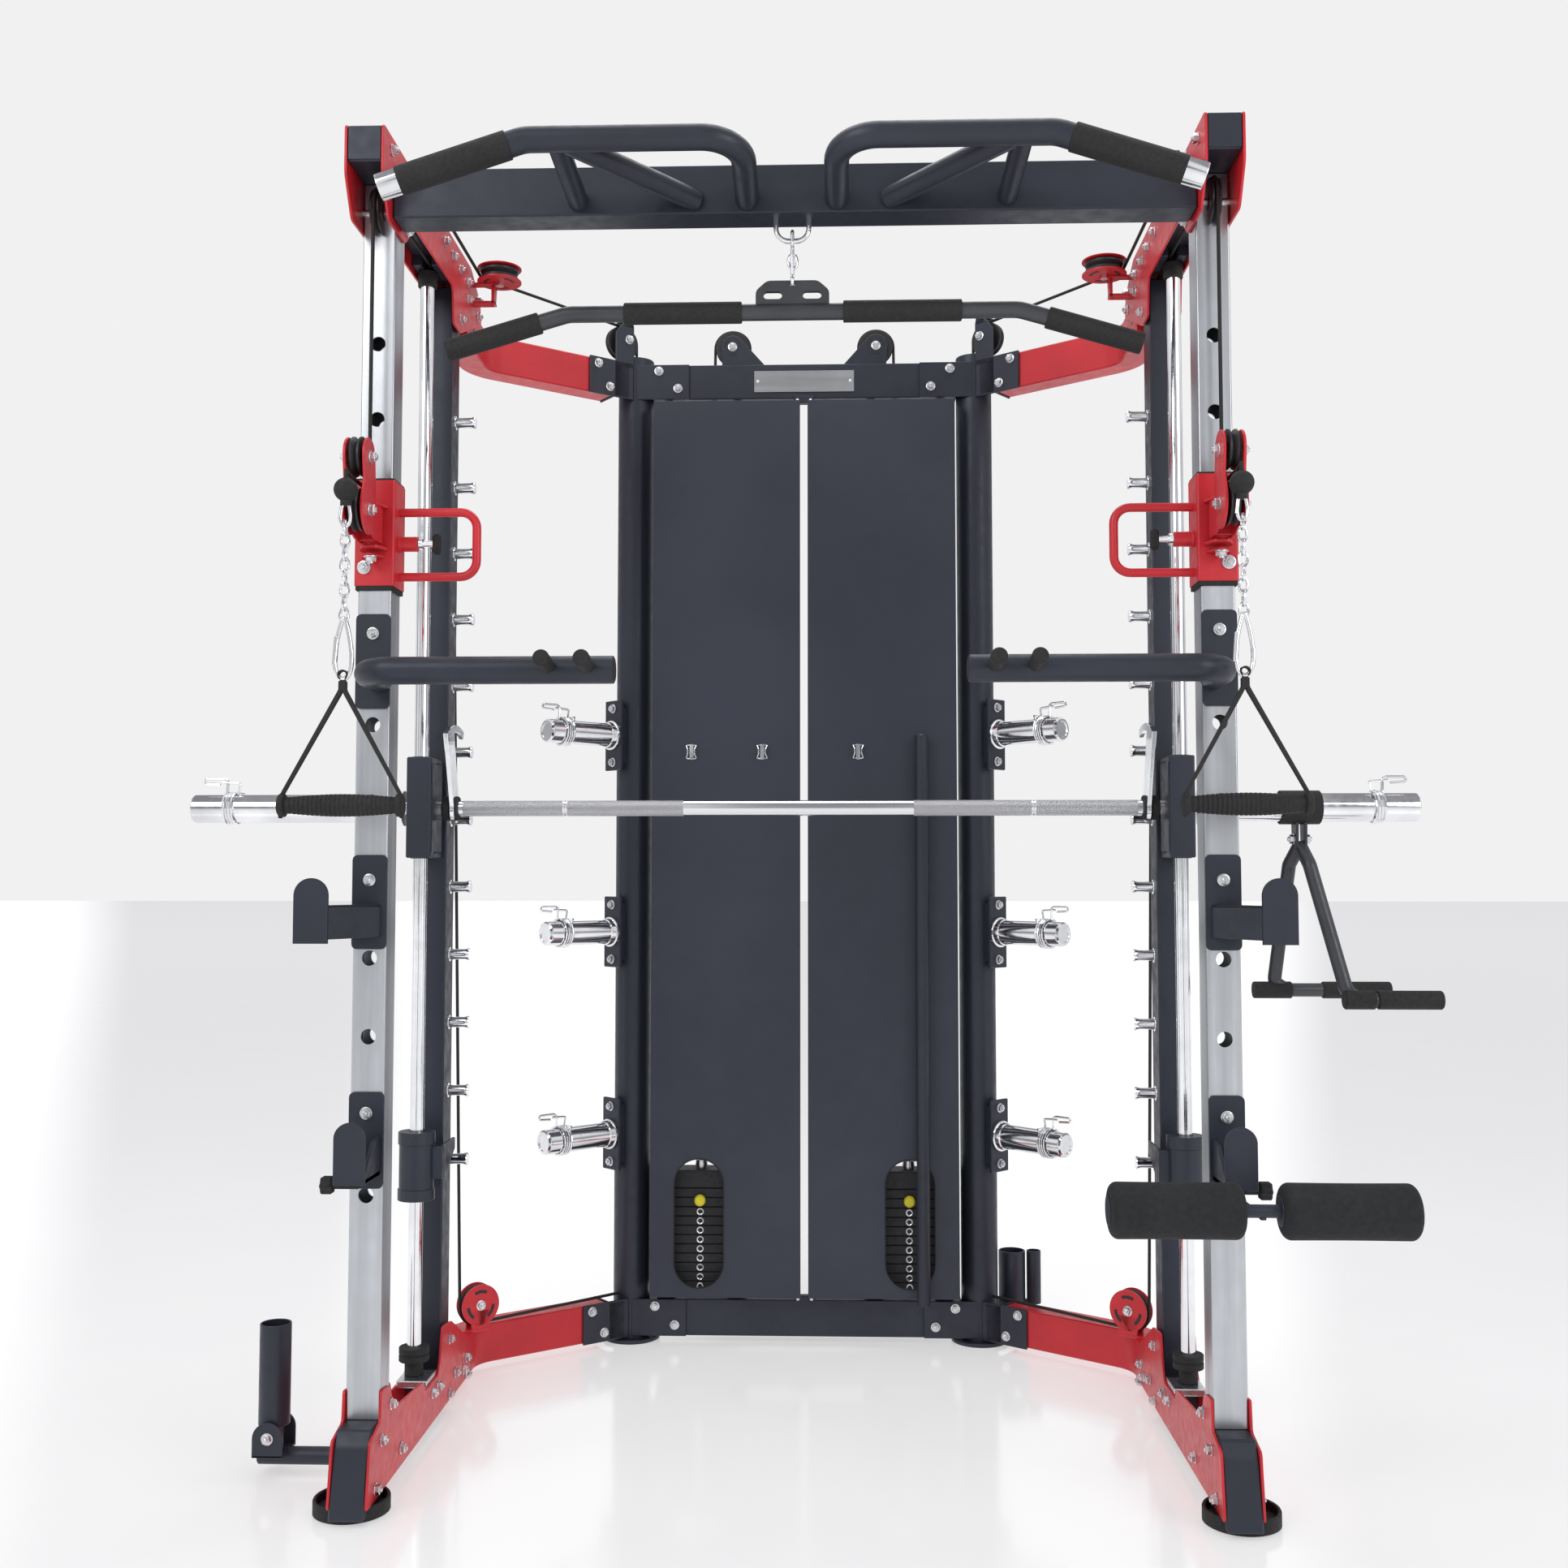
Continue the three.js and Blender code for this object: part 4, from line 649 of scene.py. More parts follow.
def grooved(centre, direction, radius, wide, shape=None):
    # a cable wheel: rims, groove and a raised hub
    centre, direction = Vector(centre), Vector(direction).normalized()
    start = centre - direction * (wide / 2 + 1)
    rows = [(0, 9), (0, 12), (1, 13), (1.6, radius * 0.45), (1, radius * 0.6), (1, radius + 2),
            (2, radius + 3.4),
            (wide * 0.3, radius + 3), (wide / 2 + 1, radius - 2), (wide * 0.7 + 2, radius + 3),
            (wide, radius + 3.4), (wide + 1, radius + 2), (wide + 1, radius * 0.6),
            (wide + 0.4, radius * 0.45),
            (wide + 1, 13), (wide + 2, 12), (wide + 2, 9)]
    return (shape or Shape()).lathe(start, start + direction, rows, 40)


def sidePlates(outline, corner, s):
    plates, thick = Shape(), frameSizes["plate"]
    for x in (inner - 0.3 - thick, outer + 0.3):
        low = x if s > 0 else -x - thick
        plates.plateX(roundedOutline(outline, corner), low, low + thick, 0.7)
    return plates


ropeReach = 37.2  # from a wheel's axle to the middle of its cable
cornerWheel = dict(inset=58, y=512, z=2117, radius=42)


def makeTopFrame(side, s):
    plates, size = sidePlates(topPlate, 9, s), cornerWheel
    plates.join(armShape(s, armSizes["top"]))
    cx, cy, cz, cover = s * (inner - size["inset"]), size["y"], size["z"], size["radius"]
    for start, thick, edge in ((-15, 4, 1), (11, 3, 0.8)):
        rim = [(0, cover - 1.5), (0.8, cover), (thick - edge, cover), (thick, cover - 1.5)]
        plates.lathe((cx, cy, cz + start), (cx, cy, cz + start + thick), rim, 48)
    plates.block(s * (inner - 52), s * (inner - 1.3), 508, 528, cz - 18, cz - 14, 1)
    plates.flat([(0, 2056), (0, cz - 14), (26, cz - 14), (17, 2062)], (cx + s * 10, 514, 0), (0, 1, 0),
                (0, 0, 1),
                s * 6, 0.6)
    plates.block(cx + s * 10, s * (inner - 1), 514, 538, 2064, 2069, 1)
    piece(f"{side}TopPlates", plates, "redPaint", nodes=[f"{side}_top_frame"])
    slots = slotArcs(Shape(), (cx, cy, cz - 15.5), (1, 0, 0), (0, 1, 0), (0, 0, -0.5), 30)
    slots = slotArcs(slots, (cx, cy, cz + 14), (1, 0, 0), (0, 1, 0), (0, 0, 0.5), 30)
    grooved((cx, cy, cz - 0.5), (0, 0, 1), 33, 19, slots)
    grooved((s * half, 0, 2026), (1, 0, 0), 33, 16, slots)
    piece(f"{side}TopWheels", slots, "pulleyPlastic")
    beam = Shape().block(s * (inner - 0.2), s * (outer + 0.2), -88, 480, beamBottom, 2130, 2.5)
    beam.block(s * (inner + 1), s * (outer - 1), -90, -87, beamBottom + 2, 2128, 1.2)
    beam.block(s * (inner - 0.2), s * (half - 9), 292, 366, 2053.4, beamBottom + 1, 1)
    beam.block(s * (half + 9), s * (outer + 0.2), 292, 366, 2053.4, beamBottom + 1, 1)
    beam.block(s * (inner - 0.2), s * (outer + 0.2), 520, 560, 2020, 2050, 1)
    beam.block(s * (inner - 16), s * (inner - size["inset"] + 31), 30, 50, cz - 9, cz + 9, 2)
    piece(f"{side}TopBeam", beam, "blackPaint")
    axle = Shape().rod((s * (inner - 9), 0, 2026), (s * (outer + 9), 0, 2026), 6, 20)
    axle.lathe((cx, cy, cz - 21), (cx, cy, cz + 19),
               [(0, 6), (0, 9), (6, 9), (6, 6), (34, 6), (34, 9), (40, 8)], 6)
    piece(f"{side}TopAxles", axle, "zincBolt", smooth=30)
    for x, way in ((inner - 4.4, -1), (outer + 4.4, 1)):
        boltRow([(s * x, y, z) for y, z in topBolts if not (way < 0 and -42 < y < 22 and z < 2082)],
                (s * way, 0, 0))


landmineSizes = dict(x=-846, y=136, pivotZ=64, low=78, radius=25, forkGap=28, forkThick=5)


def makeBaseFrame(side, s):
    piece(f"{side}BasePlates", sidePlates(basePlate, 7, s), "redPaint", nodes=[f"{side}_base_frame"])
    foot = Shape().plateX(roundedOutline([(-84, 8), (-57, 108), (-43, 130), (53, 130), (53, 80), (26, 8)], 5),
                          s * (inner - 0.2), s * (outer + 0.2), 2)
    foot.block(s * (inner - 0.2), s * (outer + 0.2), 350, 360, 41, 100.7, 1.5)
    if s < 0:
        size = landmineSizes
        x, y, z, wide = size["x"], size["y"], size["pivotZ"], size["radius"]
        near, far = size["forkGap"], size["forkGap"] + size["forkThick"]
        foot.rod((-outer - 2, y, 28), (x - 24, y, 28), 14, 28, 1.5)
        fork = [(x - wide, 34), (x + wide, 34)] + arc((x, z), wide, 0, 180, 16)
        foot.plateY(fork, y - far, y - near, 0.8).plateY(fork, y + near, y + far, 0.8)
        foot.block(x - wide, x + wide, y - far, y + far, 34, 38, 1)
        boltRow([(x, y - far, z)], (0, -1, 0))
        boltRow([(x, y + far, z)], (0, 1, 0))
    piece(f"{side}Foot", foot, "blackPaint")
    x, y = s * (half + 10), -16
    pad = Shape().lathe((x, y, 0), (x, y, 1), [(0, 55), (1.5, 58), (20, 58), (22, 57), (22, 53.5), (21, 52.5),
                                               (9, 52), (8.5, 2)], 56)
    piece(f"{side}FootPad", pad, "gripRubber")
    block = Shape().block(s * (inner - 0.2), s * (outer + 0.2), 286, 356, 89, 100.7, 1.5)
    piece(f"{side}RodBlock", block, "zincBolt")
    for x, way in ((inner - 4.4, -1), (outer + 4.4, 1)):
        boltRow([(s * x, y, z) for y, z in baseBolts], (s * way, 0, 0))


baseWheel = dict(along=372, sideways=-43, z=134, cover=39)


def makeBaseArm(side, s):
    arm = armShape(s, armSizes["baseTop"])
    t, n = baseWheel["along"], baseWheel["sideways"]
    across = Vector((s * armCos, -armSin, 0))
    way = Vector((s * armSin, armCos, 0))
    up = Vector((0, 0, 1))
    outward = across.cross(up).dot(way)
    centre, cover = Vector(armPoint(s, t, n, baseWheel["z"])), baseWheel["cover"]
    for start, end in ((-14, -10), (10, 14)):
        arm.lathe(centre + way * start, centre + way * end,
                  [(0, cover - 1.2), (0.8, cover), (3.2, cover), (4, cover - 1.2)], 48)
        base = centre + way * start
        arm.flat([(-18, -49), (18, -49), (22, -10), (-22, -10)], base, across, up, 4 if outward > 0 else -4,
                 0.5)
    floor = [(-20, -15), (40, -15), (40, 44), (-20, 44)]
    corners = [armPoint(s, t + a, n + b, 0)[:2] for a, b in floor]
    arm.plateZ(corners, 84, 90, 0.8)
    piece(f"{side}BaseArm", arm, "redPaint", nodes=[f"{side}_base_arm"])
    wheel = grooved(centre, way, 33, 17)
    for facing in (-1, 1):
        slotArcs(wheel, centre + way * (facing * 14), across * (1 if outward * facing > 0 else -1), up,
                 way * facing, 29)
    piece(f"{side}BaseWheel", wheel, "pulleyPlastic")
    boltRow([tuple(centre - way * 14)], tuple(-way))
    boltRow([tuple(centre + way * 14)], tuple(way))


pegSizes = dict(first=453.5, step=123, count=12, radius=9.5, long=40, flare=2, y=430)


def makeRearUpright(side, s):
    low = inner + 4.5
    post = Shape().block(s * low, s * (outer - 0.3), 400, 460, 26, 2053.7, 2.5)
    piece(f"{side}RearUpright", post, "blackPaint", nodes=[f"{side}_rear_upright"])
    size = pegSizes
    peg = Shape().lathe((0, 0, -1), (0, 0, 0), [(0, 13), (3, 13), (3.5, size["radius"]), (31, size["radius"]),
                        (size["long"] - 2, size["radius"] + size["flare"]),
                                                (size["long"], size["radius"] + 1)], 24)
    places = [((s * low, size["y"], size["first"] + i * size["step"]),
               (-s, 0, 0)) for i in range(size["count"])]
    copies(f"{side}Pegs", peg, places, "chrome")


rodSizes = dict(x=668, y=326, radius=12.5, low=101, long=1952)


def makeGuideRod(side, s):
    x, y, low = s * rodSizes["x"], rodSizes["y"], rodSizes["low"]
    radius, long = rodSizes["radius"], rodSizes["long"]
    rod = Shape().lathe((x, y, low), (x, y, low + 1),
                        [(0, radius - 0.5), (0.5, radius), (long - 0.5, radius), (long, radius - 0.5)], 48)
    piece(f"{side}GuideRod", rod, "chrome", nodes=[f"{side}_guide_rod"])
    ends = Shape().lathe((x, y, low), (x, y, low + 1),
                         [(0, 12.6), (0, 15), (1, 16), (23, 16), (24, 25), (25, 26),
                         (34, 26), (35, 24.5), (37, 24.5), (38, 26), (47, 26), (48, 25), (48, 12.6)], 40,
                         True)
    ends.lathe((x, y, 2025), (x, y, 2026), [(0, 12.6), (0, 16), (1, 17), (27, 17), (28, 16), (28, 12.6)], 32,
               True)
    piece(f"{side}RodSockets", ends, "gripRubber")


collarSizes = dict(wire=2.4, turns=4, pitch=5.0)


def coil(shape, start, along, radius):
    # a spring collar: coils of wire with two bent ends to press
    wire, turns, pitch = (collarSizes[key] for key in ("wire", "turns", "pitch"))
    along = Vector(along).normalized()
    up = Vector((0, 0, 1))
    over = along.cross(up)
    points = []
    for i in range(turns * 16 + 1):
        t = 2 * math.pi * i / 16
        swung = up * math.cos(t) + over * math.sin(t)
        points.append(Vector(start) + along * (pitch * i / 16) + swung * radius)
    low, tail = points[0], points[-1]
    head = [tail + up * 22, tail + up * 26 + along * 6, tail + up * 26 + along * 40,
            tail + up * 18 + along * 42,
            tail + up * 16 + along * 14]
    foot = [low + over, low + up * 18 - along * 3, low + up * 20 + along * 30]
    return shape.pipe(foot[::-1] + points + head, wire, 2.5, 8, 2, 0.6)


columnSizes = dict(wheelZ=2112, horns=(1262, 848, 428), hornTurn=45, hornStart=58,
                   cups=((438, 28, 25), (484, 15, 12.5)))


def makeColumn(side, s):
    size, x, y = columnSizes, columnX, columnY
    wheelZ, hornStart = size["wheelZ"], size["hornStart"]
    post = Shape().lathe((x, y, 4), (x, y, 5),
                         [(0, 33), (0, 38), (2072.5, 38), (2074, 37), (2074, 34.5), (2073, 34),
                         (10, 34)], 56, True)
    post.lathe((x, y, 0), (x, y, 1), [(0, 57), (1, 59), (7, 59), (8, 58)], 56)
    base = Matrix.Translation((x, y, 0))
    turned = base @ Matrix.Rotation(math.radians(-armSizes["turn"]), 4, "Z")
    hornTurned = base @ Matrix.Rotation(math.radians(-size["hornTurn"]), 4, "Z")
    stub = Shape()
    for low in beamLows:
        stub.block(26, 132, -31.8, -26.8, low - 2, low + 77, 1.5)
        stub.block(70.7, 75.7, -27.8, 26.8, low - 2, low + 77, 1)
        stub.block(36, 72, -31.8, -22.8, low, low + 75, 1)
    stub.plateY(roundedOutline([(25, 2050), (69, 2050), (69, 2124), (53, 2146), (29, 2156), (25, 2142)], 5),
                -31.8, -26.8)
    stub.block(27, 49, -27.8, 14, 2153, 2156, 1).block(27, 49, -31.8, -26.8, 2138, 2156, 1)
    post.join(stub.moved(turned))
    for low in beamLows:
        post.block(246, 360, 886.7, 891.7, low, low + 75, 1.5)
    for z in size["horns"]:
        bracket = Shape().block(32, 52, -16, 16, z - 60, z + 60, 1.5).block(51, 58, -27, 27, z - 74, z + 74,
                1.5)
        post.join(bracket.moved(hornTurned))
    if s > 0:
        for cx, radius, bore in size["cups"]:
            post.lathe((cx, 985, 62), (cx, 985, 63),
                       [(0, radius - 0.8), (0.8, radius), (109, radius), (110, radius - 0.8),
                       (110, bore), (8, bore), (7.9, 0.5), (0, 0.5)], 36, True)
        post.block(368, 448, 943, 991, 62, 70, 1.5).block(458, 478, 979, 991, 62, 70, 1.5)
    piece(f"{side}Column", post.mirrored(s), "blackPaint", nodes=[f"{side}_column"])
    chrome = Shape()
    out = Vector((math.sqrt(0.5), -math.sqrt(0.5), 0))
    for z in size["horns"]:
        start = Vector((x, y, z)) + out * hornStart
        chrome.lathe(start, start + out, [(0, 30), (1, 31), (7, 31), (8, 28), (18, 27), (20, 25), (164, 25),
                                          (167, 24.5),
                                          (170, 21), (170, 17), (168, 16)], 44)
        coil(chrome, start + out * 118, out, 28.5)
    piece(f"{side}Horns", chrome.mirrored(s), "chrome")
    wheel = grooved((ropeReach, 0, wheelZ), (0, 1, 0), 33, 16).moved(turned).mirrored(s)
    piece(f"{side}ColumnWheel", wheel, "pulleyPlastic")
    axle = Shape().rod((ropeReach, -34.8, wheelZ), (ropeReach, 12, wheelZ), 7, 20).moved(turned).mirrored(s)
    piece(f"{side}ColumnAxle", axle, "zincBolt")
    way = Vector((s * armSin, armCos, 0))
    for top in (armSizes["top"], armSizes["baseTop"]):
        places = [armPoint(s, 112, -31.8, top - 12), armPoint(s, 84, -31.8, top - 58)]
        boltRow(places, tuple(-way))
        boltRow([(s * 311, 886.7, top - 14), (s * 270, 886.7, top - 52)], (0, -1, 0))
    boltRow([armPoint(s, ropeReach, -31.8, wheelZ)], tuple(-way))
    horn = Vector((s * out.x, out.y, 0))
    for z in size["horns"]:
        boltRow([tuple(Vector((s * x, y, z + dz)) + horn * hornStart) for dz in (-57, 57)], tuple(horn))


stackSizes = dict(x=217, y=917, wide=190, deep=66, plate=19, count=9, bottom=108.3, head=74,
                  guides=(-74, 74))


def makeStack(side, s):
    size = stackSizes
    x, y, w, d = s * size["x"], size["y"], size["wide"] / 2, size["deep"] / 2
    one = Shape().block(-w, w, -d, d, 0, size["plate"] - 1.6, 1.6).block(-w + 4, w - 4, -d + 4, d - 4, 16.6,
            19, 0.3)
    places = [((x, y, size["bottom"] + i * size["plate"]), (0, 0, 1)) for i in range(size["count"])]
    stack = copies(f"{side}Stack", one, places, "stackIron")
    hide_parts(f"{side}_weight_stack")
    hole = Shape().lathe((0, 0, 0), (0, 0, 1), [(0, 4.6), (0, 7.4), (1.0, 7.2), (1.2, 6.2), (0.4, 4.6)], 20,
                         True)
    marks = [((x, y - d, size["bottom"] + (i + 0.45) * size["plate"]),
              (0, -1, 0)) for i in range(size["count"])]
    copies(f"{side}StackHoles", hole, marks, "zincBolt")
    low = size["bottom"] + size["count"] * size["plate"] + 0.3
    top = low + size["head"]
    head = Shape().block(x - w, x + w, y - d, y + d, low, low + 17.4, 1.6)
    head.block(x - w, x + w, y - d, y + d, low + 19, low + 36.4, 1.6).block(x - w, x + w, y - d, y + d,
            low + 38, top, 2.5)
    head.block(x - w + 4, x + w - 4, y - d + 4, y + d - 4, low + 10, low + 60, 0.5)
    for t in size["guides"]:
        head.lathe((x + t, y, low + 73), (x + t, y, low + 74),
                   [(0, 11.6), (0, 17), (23, 17), (25, 15.5), (25, 11.6)], 28, True)
    piece(f"{side}StackHead", head, "stackIron", f"{side}_stack_head", [f"{side}_stack_head"])
    eye = Shape().lathe((x, y, low + 73), (x, y, low + 74),
                        [(0, 13), (18, 13), (20, 9), (34, 9), (36, 12), (41, 12)], 28)
    piece(f"{side}StackEye", eye, "zincBolt", f"{side}_stack_head")
    pin = low + 14
    knob = Shape().lathe((x, y - d - 18, pin), (x, y - d, pin),
                         [(0, 6), (0.6, 9), (3, 11.4), (7, 12), (12, 12), (14.4, 10), (16, 7)], 32)
    piece(f"{side}PinKnob", knob, "yellowPlastic", f"{side}_selector_pin", [f"{side}_selector_pin"])
    shaft = Shape().rod((x, y - d - 8, pin), (x, y - d + 46, pin), 5, 20)
    piece(f"{side}PinShaft", shaft, "chrome", f"{side}_selector_pin")


shroudSizes = dict(front=848, sheet=2, low=102, high=1969, inner=8, outer=318, fold=42, hookZ=1208,
                   window=(332, 172), hooks={"left": (-235, -87), "right": (113,)})


def makeShroud(side, s):
    size = shroudSizes
    front, low, high, a, b = size["front"], size["low"], size["high"], size["inner"], size["outer"]
    thick, middle = size["sheet"], s * stackSizes["x"]
    windowHigh, windowLow = size["window"]
    sheet = Shape().block(s * a, s * b, front, front + thick, low, high, 0.5)
    window = arc((middle, windowHigh), 50, 0, 180, 24) + arc((middle, windowLow), 50, 180, 360, 24)
    sheet.carved(Shape().plateY(window, front - 3, front + 6, 0))
    sheet.block(s * (b - thick), s * b, front + 0.5, front + size["fold"], low, high, 0.4)
    sheet.block(s * a, s * (a + thick), front + 0.5, front + 14, low, high, 0.4)
    piece(f"{side}Shroud", sheet, "panelPaint", nodes=[f"{side}_shroud"])
    trim = Shape()
    rim = arc((middle, windowHigh), 52, 0, 180, 24) + arc((middle, windowLow), 52, 180, 360, 24)
    loops = [[(p[0], y, p[1]) for p in ring] for ring, y in ((rim, front + thick), (rim, front - 1.2),
                                                             (window, front - 1.2), (window, front + thick))]
    trim.rings(loops, True)
    piece(f"{side}WindowTrim", trim, "gripRubber")
    clips = Shape()
    z = size["hookZ"]
    for x in size["hooks"][side]:
        clips.block(x - 4, x + 4, front - 1.6, front, z, z + 32, 0.5)
        for t in (-1, 1):
            bent = ((4, 1, 2), (11, 4, 2), (7, 12, 12), (7, 12, 20), (11, 4, 30), (4, 1, 30))
            clips.pipe([(x + t * a, front - b, z + c) for a, b, c in bent], 1.6, 2.5, 8, 3)
    if s > 0:
        for low in (580, 1214):
            clips.block(238, 248, front - 12, front, low, low + 20, 1)
    piece(f"{side}Clips", clips, "chrome")
    if s > 0:
        y = front - 26
        bar = Shape().lathe((243, y, 96), (243, y, 97),
                            [(0, 9), (0, 12.5), (1, 13.5), (1159, 13.5), (1160, 12.5),
                            (1160, 10.5), (1150, 10)], 36)
        piece("straightBar", bar, "blackPaint")
        caps = Shape().rod((243, y, 1249), (243, y, 1256.5), 10, 24).rod((243, y, 96.2), (243, y, 97.5), 8,
                20)
        piece("straightBarCaps", caps, "zincBolt")


crossSizes = dict(half=325, front=892, back=942, noseX=154, noseY=917, noseZ=2102, nose=25)


def makeCrossbars():
    size = crossSizes
    h, front, back = size["half"], size["front"], size["back"]
    noseX, noseY, noseZ = size["noseX"], size["noseY"], size["noseZ"]
    for where, top, clip in (("top", armSizes["top"], (-87, -71)), ("bottom", armSizes["baseTop"], (-4, 10))):
        bar = Shape().block(-h, h, front, back, top - armSizes["high"], top, 2.5)
        if where == "top":
            outline = [(noseX - 76, top - 6), (noseX + 22, top - 6)] + arc((noseX, noseZ), size["nose"], -20,
                    128, 14)
            for s in (-1, 1):
                placed = [(s * a, b) for a, b in outline]
                for y in (noseY - 16, noseY + 12):
                    bar.plateY(placed, y, y + 4, 0.7)
        bar.block(-22, 22, front - 8, front + 2, top + clip[0], top + clip[1], 1.5)
        piece(f"{where}Crossbar", bar, "blackPaint", nodes=[f"{where}_crossbar"])
    wheels = Shape()
    for s in (-1, 1):
        grooved((s * noseX, noseY, noseZ), (0, 1, 0), 33, 17, wheels)
        slotArcs(wheels, (s * noseX, noseY - 16, noseZ), (1, 0, 0), (0, 0, 1), (0, -1, 0), 19, 3, 30)
        boltRow([(s * noseX, noseY - 16, noseZ)], (0, -1, 0))
        boltRow([(s * noseX, noseY + 16, noseZ)], (0, 1, 0))
    piece("crossbarWheels", wheels, "pulleyPlastic")
    rods, stops = Shape(), Shape()
    for s in (-1, 1):
        for t in stackSizes["guides"]:
            x, y = s * stackSizes["x"] + t, stackSizes["y"]
            rods.rod((x, y, 87), (x, y, 1984.7), 10, 28, 1)
            stops.lathe((x, y, 87), (x, y, 88),
                        [(0, 19), (1, 20), (6, 18.5), (10, 20), (15, 18.5), (20, 20), (21, 18)], 28)
    piece("stackGuideRods", rods, "chrome")
    piece("stackStops", stops, "gripRubber")
    plate = Shape().block(-107, 107, front - 2.4, front + 0.5, 1999, 2045, 1)
    piece("namePlate", plate, "namePlate")
    rivet = Shape().lathe((0, 0, 0), (0, 0, 1), [(0, 3.6), (0.8, 3.4), (1.6, 2.2), (1.9, 0.6)], 16)
    spots = [((x, front - 2.4, 2022), (0, -1, 0)) for x in (-99, 99)]
    spots += [((x, front - 8, z), (0, -1, 0)) for x in (-14, 14) for z in (1979, 92)]
    copies("rivets", rivet, spots, "zincBolt")


barSizes = dict(y=366, z=1086, half=630, radius=14, sleeveStart=690.5, collarX=1010, pegY=430, pegZ=105.5)


def makeSmithBar():
    size = barSizes
    y, z, radius, long = size["y"], size["z"], size["radius"], size["half"]
    marks = ((0, 1), (1, 0), (212, 0), (213, 1), (214, 0), (1046, 0), (1047, 1), (1048, 0), (1259, 0),
             (1260, 1))
    bar = Shape().lathe((-long, y, z), (1 - long, y, z), [(a, radius - b) for a, b in marks], 48)
    piece("smithBar", bar, "knurledChrome", "smith_bar", ["smith_bar"])
    sleeves, plates, rings = Shape(), Shape(), Shape()
    for s in (-1, 1):
        start = (s * (inner - 26), y, z)
        sleeves.lathe((s * size["sleeveStart"], y, z), (s * 691, y, z),
                      [(0, 13.5), (15.5, 14), (15.5, 30), (16.5, 32), (26, 32), (27, 30),
                      (28, 25.2), (396.5, 25), (398.5, 24), (399.5, 22), (399.5, 18), (397, 17), (397, 3)],
                      56)
        sleeves.rod((s * 628, y, z), (s * 708, y, z), radius, 32)
        coil(sleeves, (s * size["collarX"], y, z), (s, 0, 0), 28)
        rings.lathe(start, (s * inner, y, z), [(0, 14.2), (0, 21), (1.5, 22), (9, 22), (10, 18), (14, 18),
                                               (15, 22),
                                               (26, 22), (28, 20), (28, 14.2)], 40, True)
        # each hook reaches over the peg above the bar
        near = math.hypot(size["pegY"] - y, size["pegZ"]) + 12.5
        peg = math.degrees(math.atan2(size["pegZ"], size["pegY"] - y))
        tip, low, high = peg + 12, peg + 42, peg + 62
        hook = arc((y, z), near, tip, low, 12) + arc((y, z), 26, low - 40, low - 290, 26)
        hook += arc((y, z), near + 14, high, tip, 14)
        plates.plateX(hook, s * (inner - 22), s * (inner - 14), 1)
    piece("barSleeves", sleeves, "chrome", "smith_bar")
    piece("barHooks", plates, "chrome", "smith_bar")
    piece("barRings", rings, "gripRubber", "smith_bar")


def makeCarrier(side, s):
    x, y = s * rodSizes["x"], rodSizes["y"]
    block = Shape().plateZ(roundedRect(s * 646, s * 690, 306, 394, 4), 997, 1175, 2)
    block.block(s * 645, s * 647, 314, 386, 1008, 1164, 1)
    tool = Shape().rod((x, y, 990), (x, y, 1180), 14, 32, 0.1)
    piece(f"{side}BarCarrier", block.carved(tool), "blackPaint", "bar_carriage", [f"{side}_bar_carrier"])
    liner = Shape()
    for z in (996, 1170):
        liner.lathe((x, y, z), (x, y, z + 1), [(0, 13), (0, 17), (1, 18), (5, 18), (6, 17), (6, 13)], 32,
                    True)
    piece(f"{side}CarrierLiners", liner, "gripRubber", "bar_carriage")


def makeStopper(side, s):
    x, y, z = s * rodSizes["x"], rodSizes["y"], 401
    sleeve = Shape().lathe((x, y, z), (x, y, z + 1),
                           [(0, 14), (0, 31), (1, 32), (19, 32), (20, 30), (96, 30), (97, 32),
                           (117, 32), (118, 31), (118, 14)], 44, True)
    blade = roundedOutline([(y, z + 94), (416, z + 94), (416, z + 74), (336, z + 34)], 3)
    sleeve.plateX(blade, s * (inner - 14), s * (inner - 9), 0.8)
    sleeve.block(s * (inner - 14), s * 646, y - 6, y + 6, z + 36, z + 92, 1)
    piece(f"{side}RodStopper", sleeve, "blackPaint", f"{side}_rod_stopper", [f"{side}_rod_stopper"])


carriageSizes = dict(low=1420, high=172, swivelY=-24, swivelLow=1484, swivelHigh=1544, guardReach=156,
                     guardLow=22, guardHigh=126, pinUp=75)
wheelSizes = dict(y=-92, upperZ=1606, upper=32, lowerZ=1524, lower=34, ballY=-156, ballZ=1540)


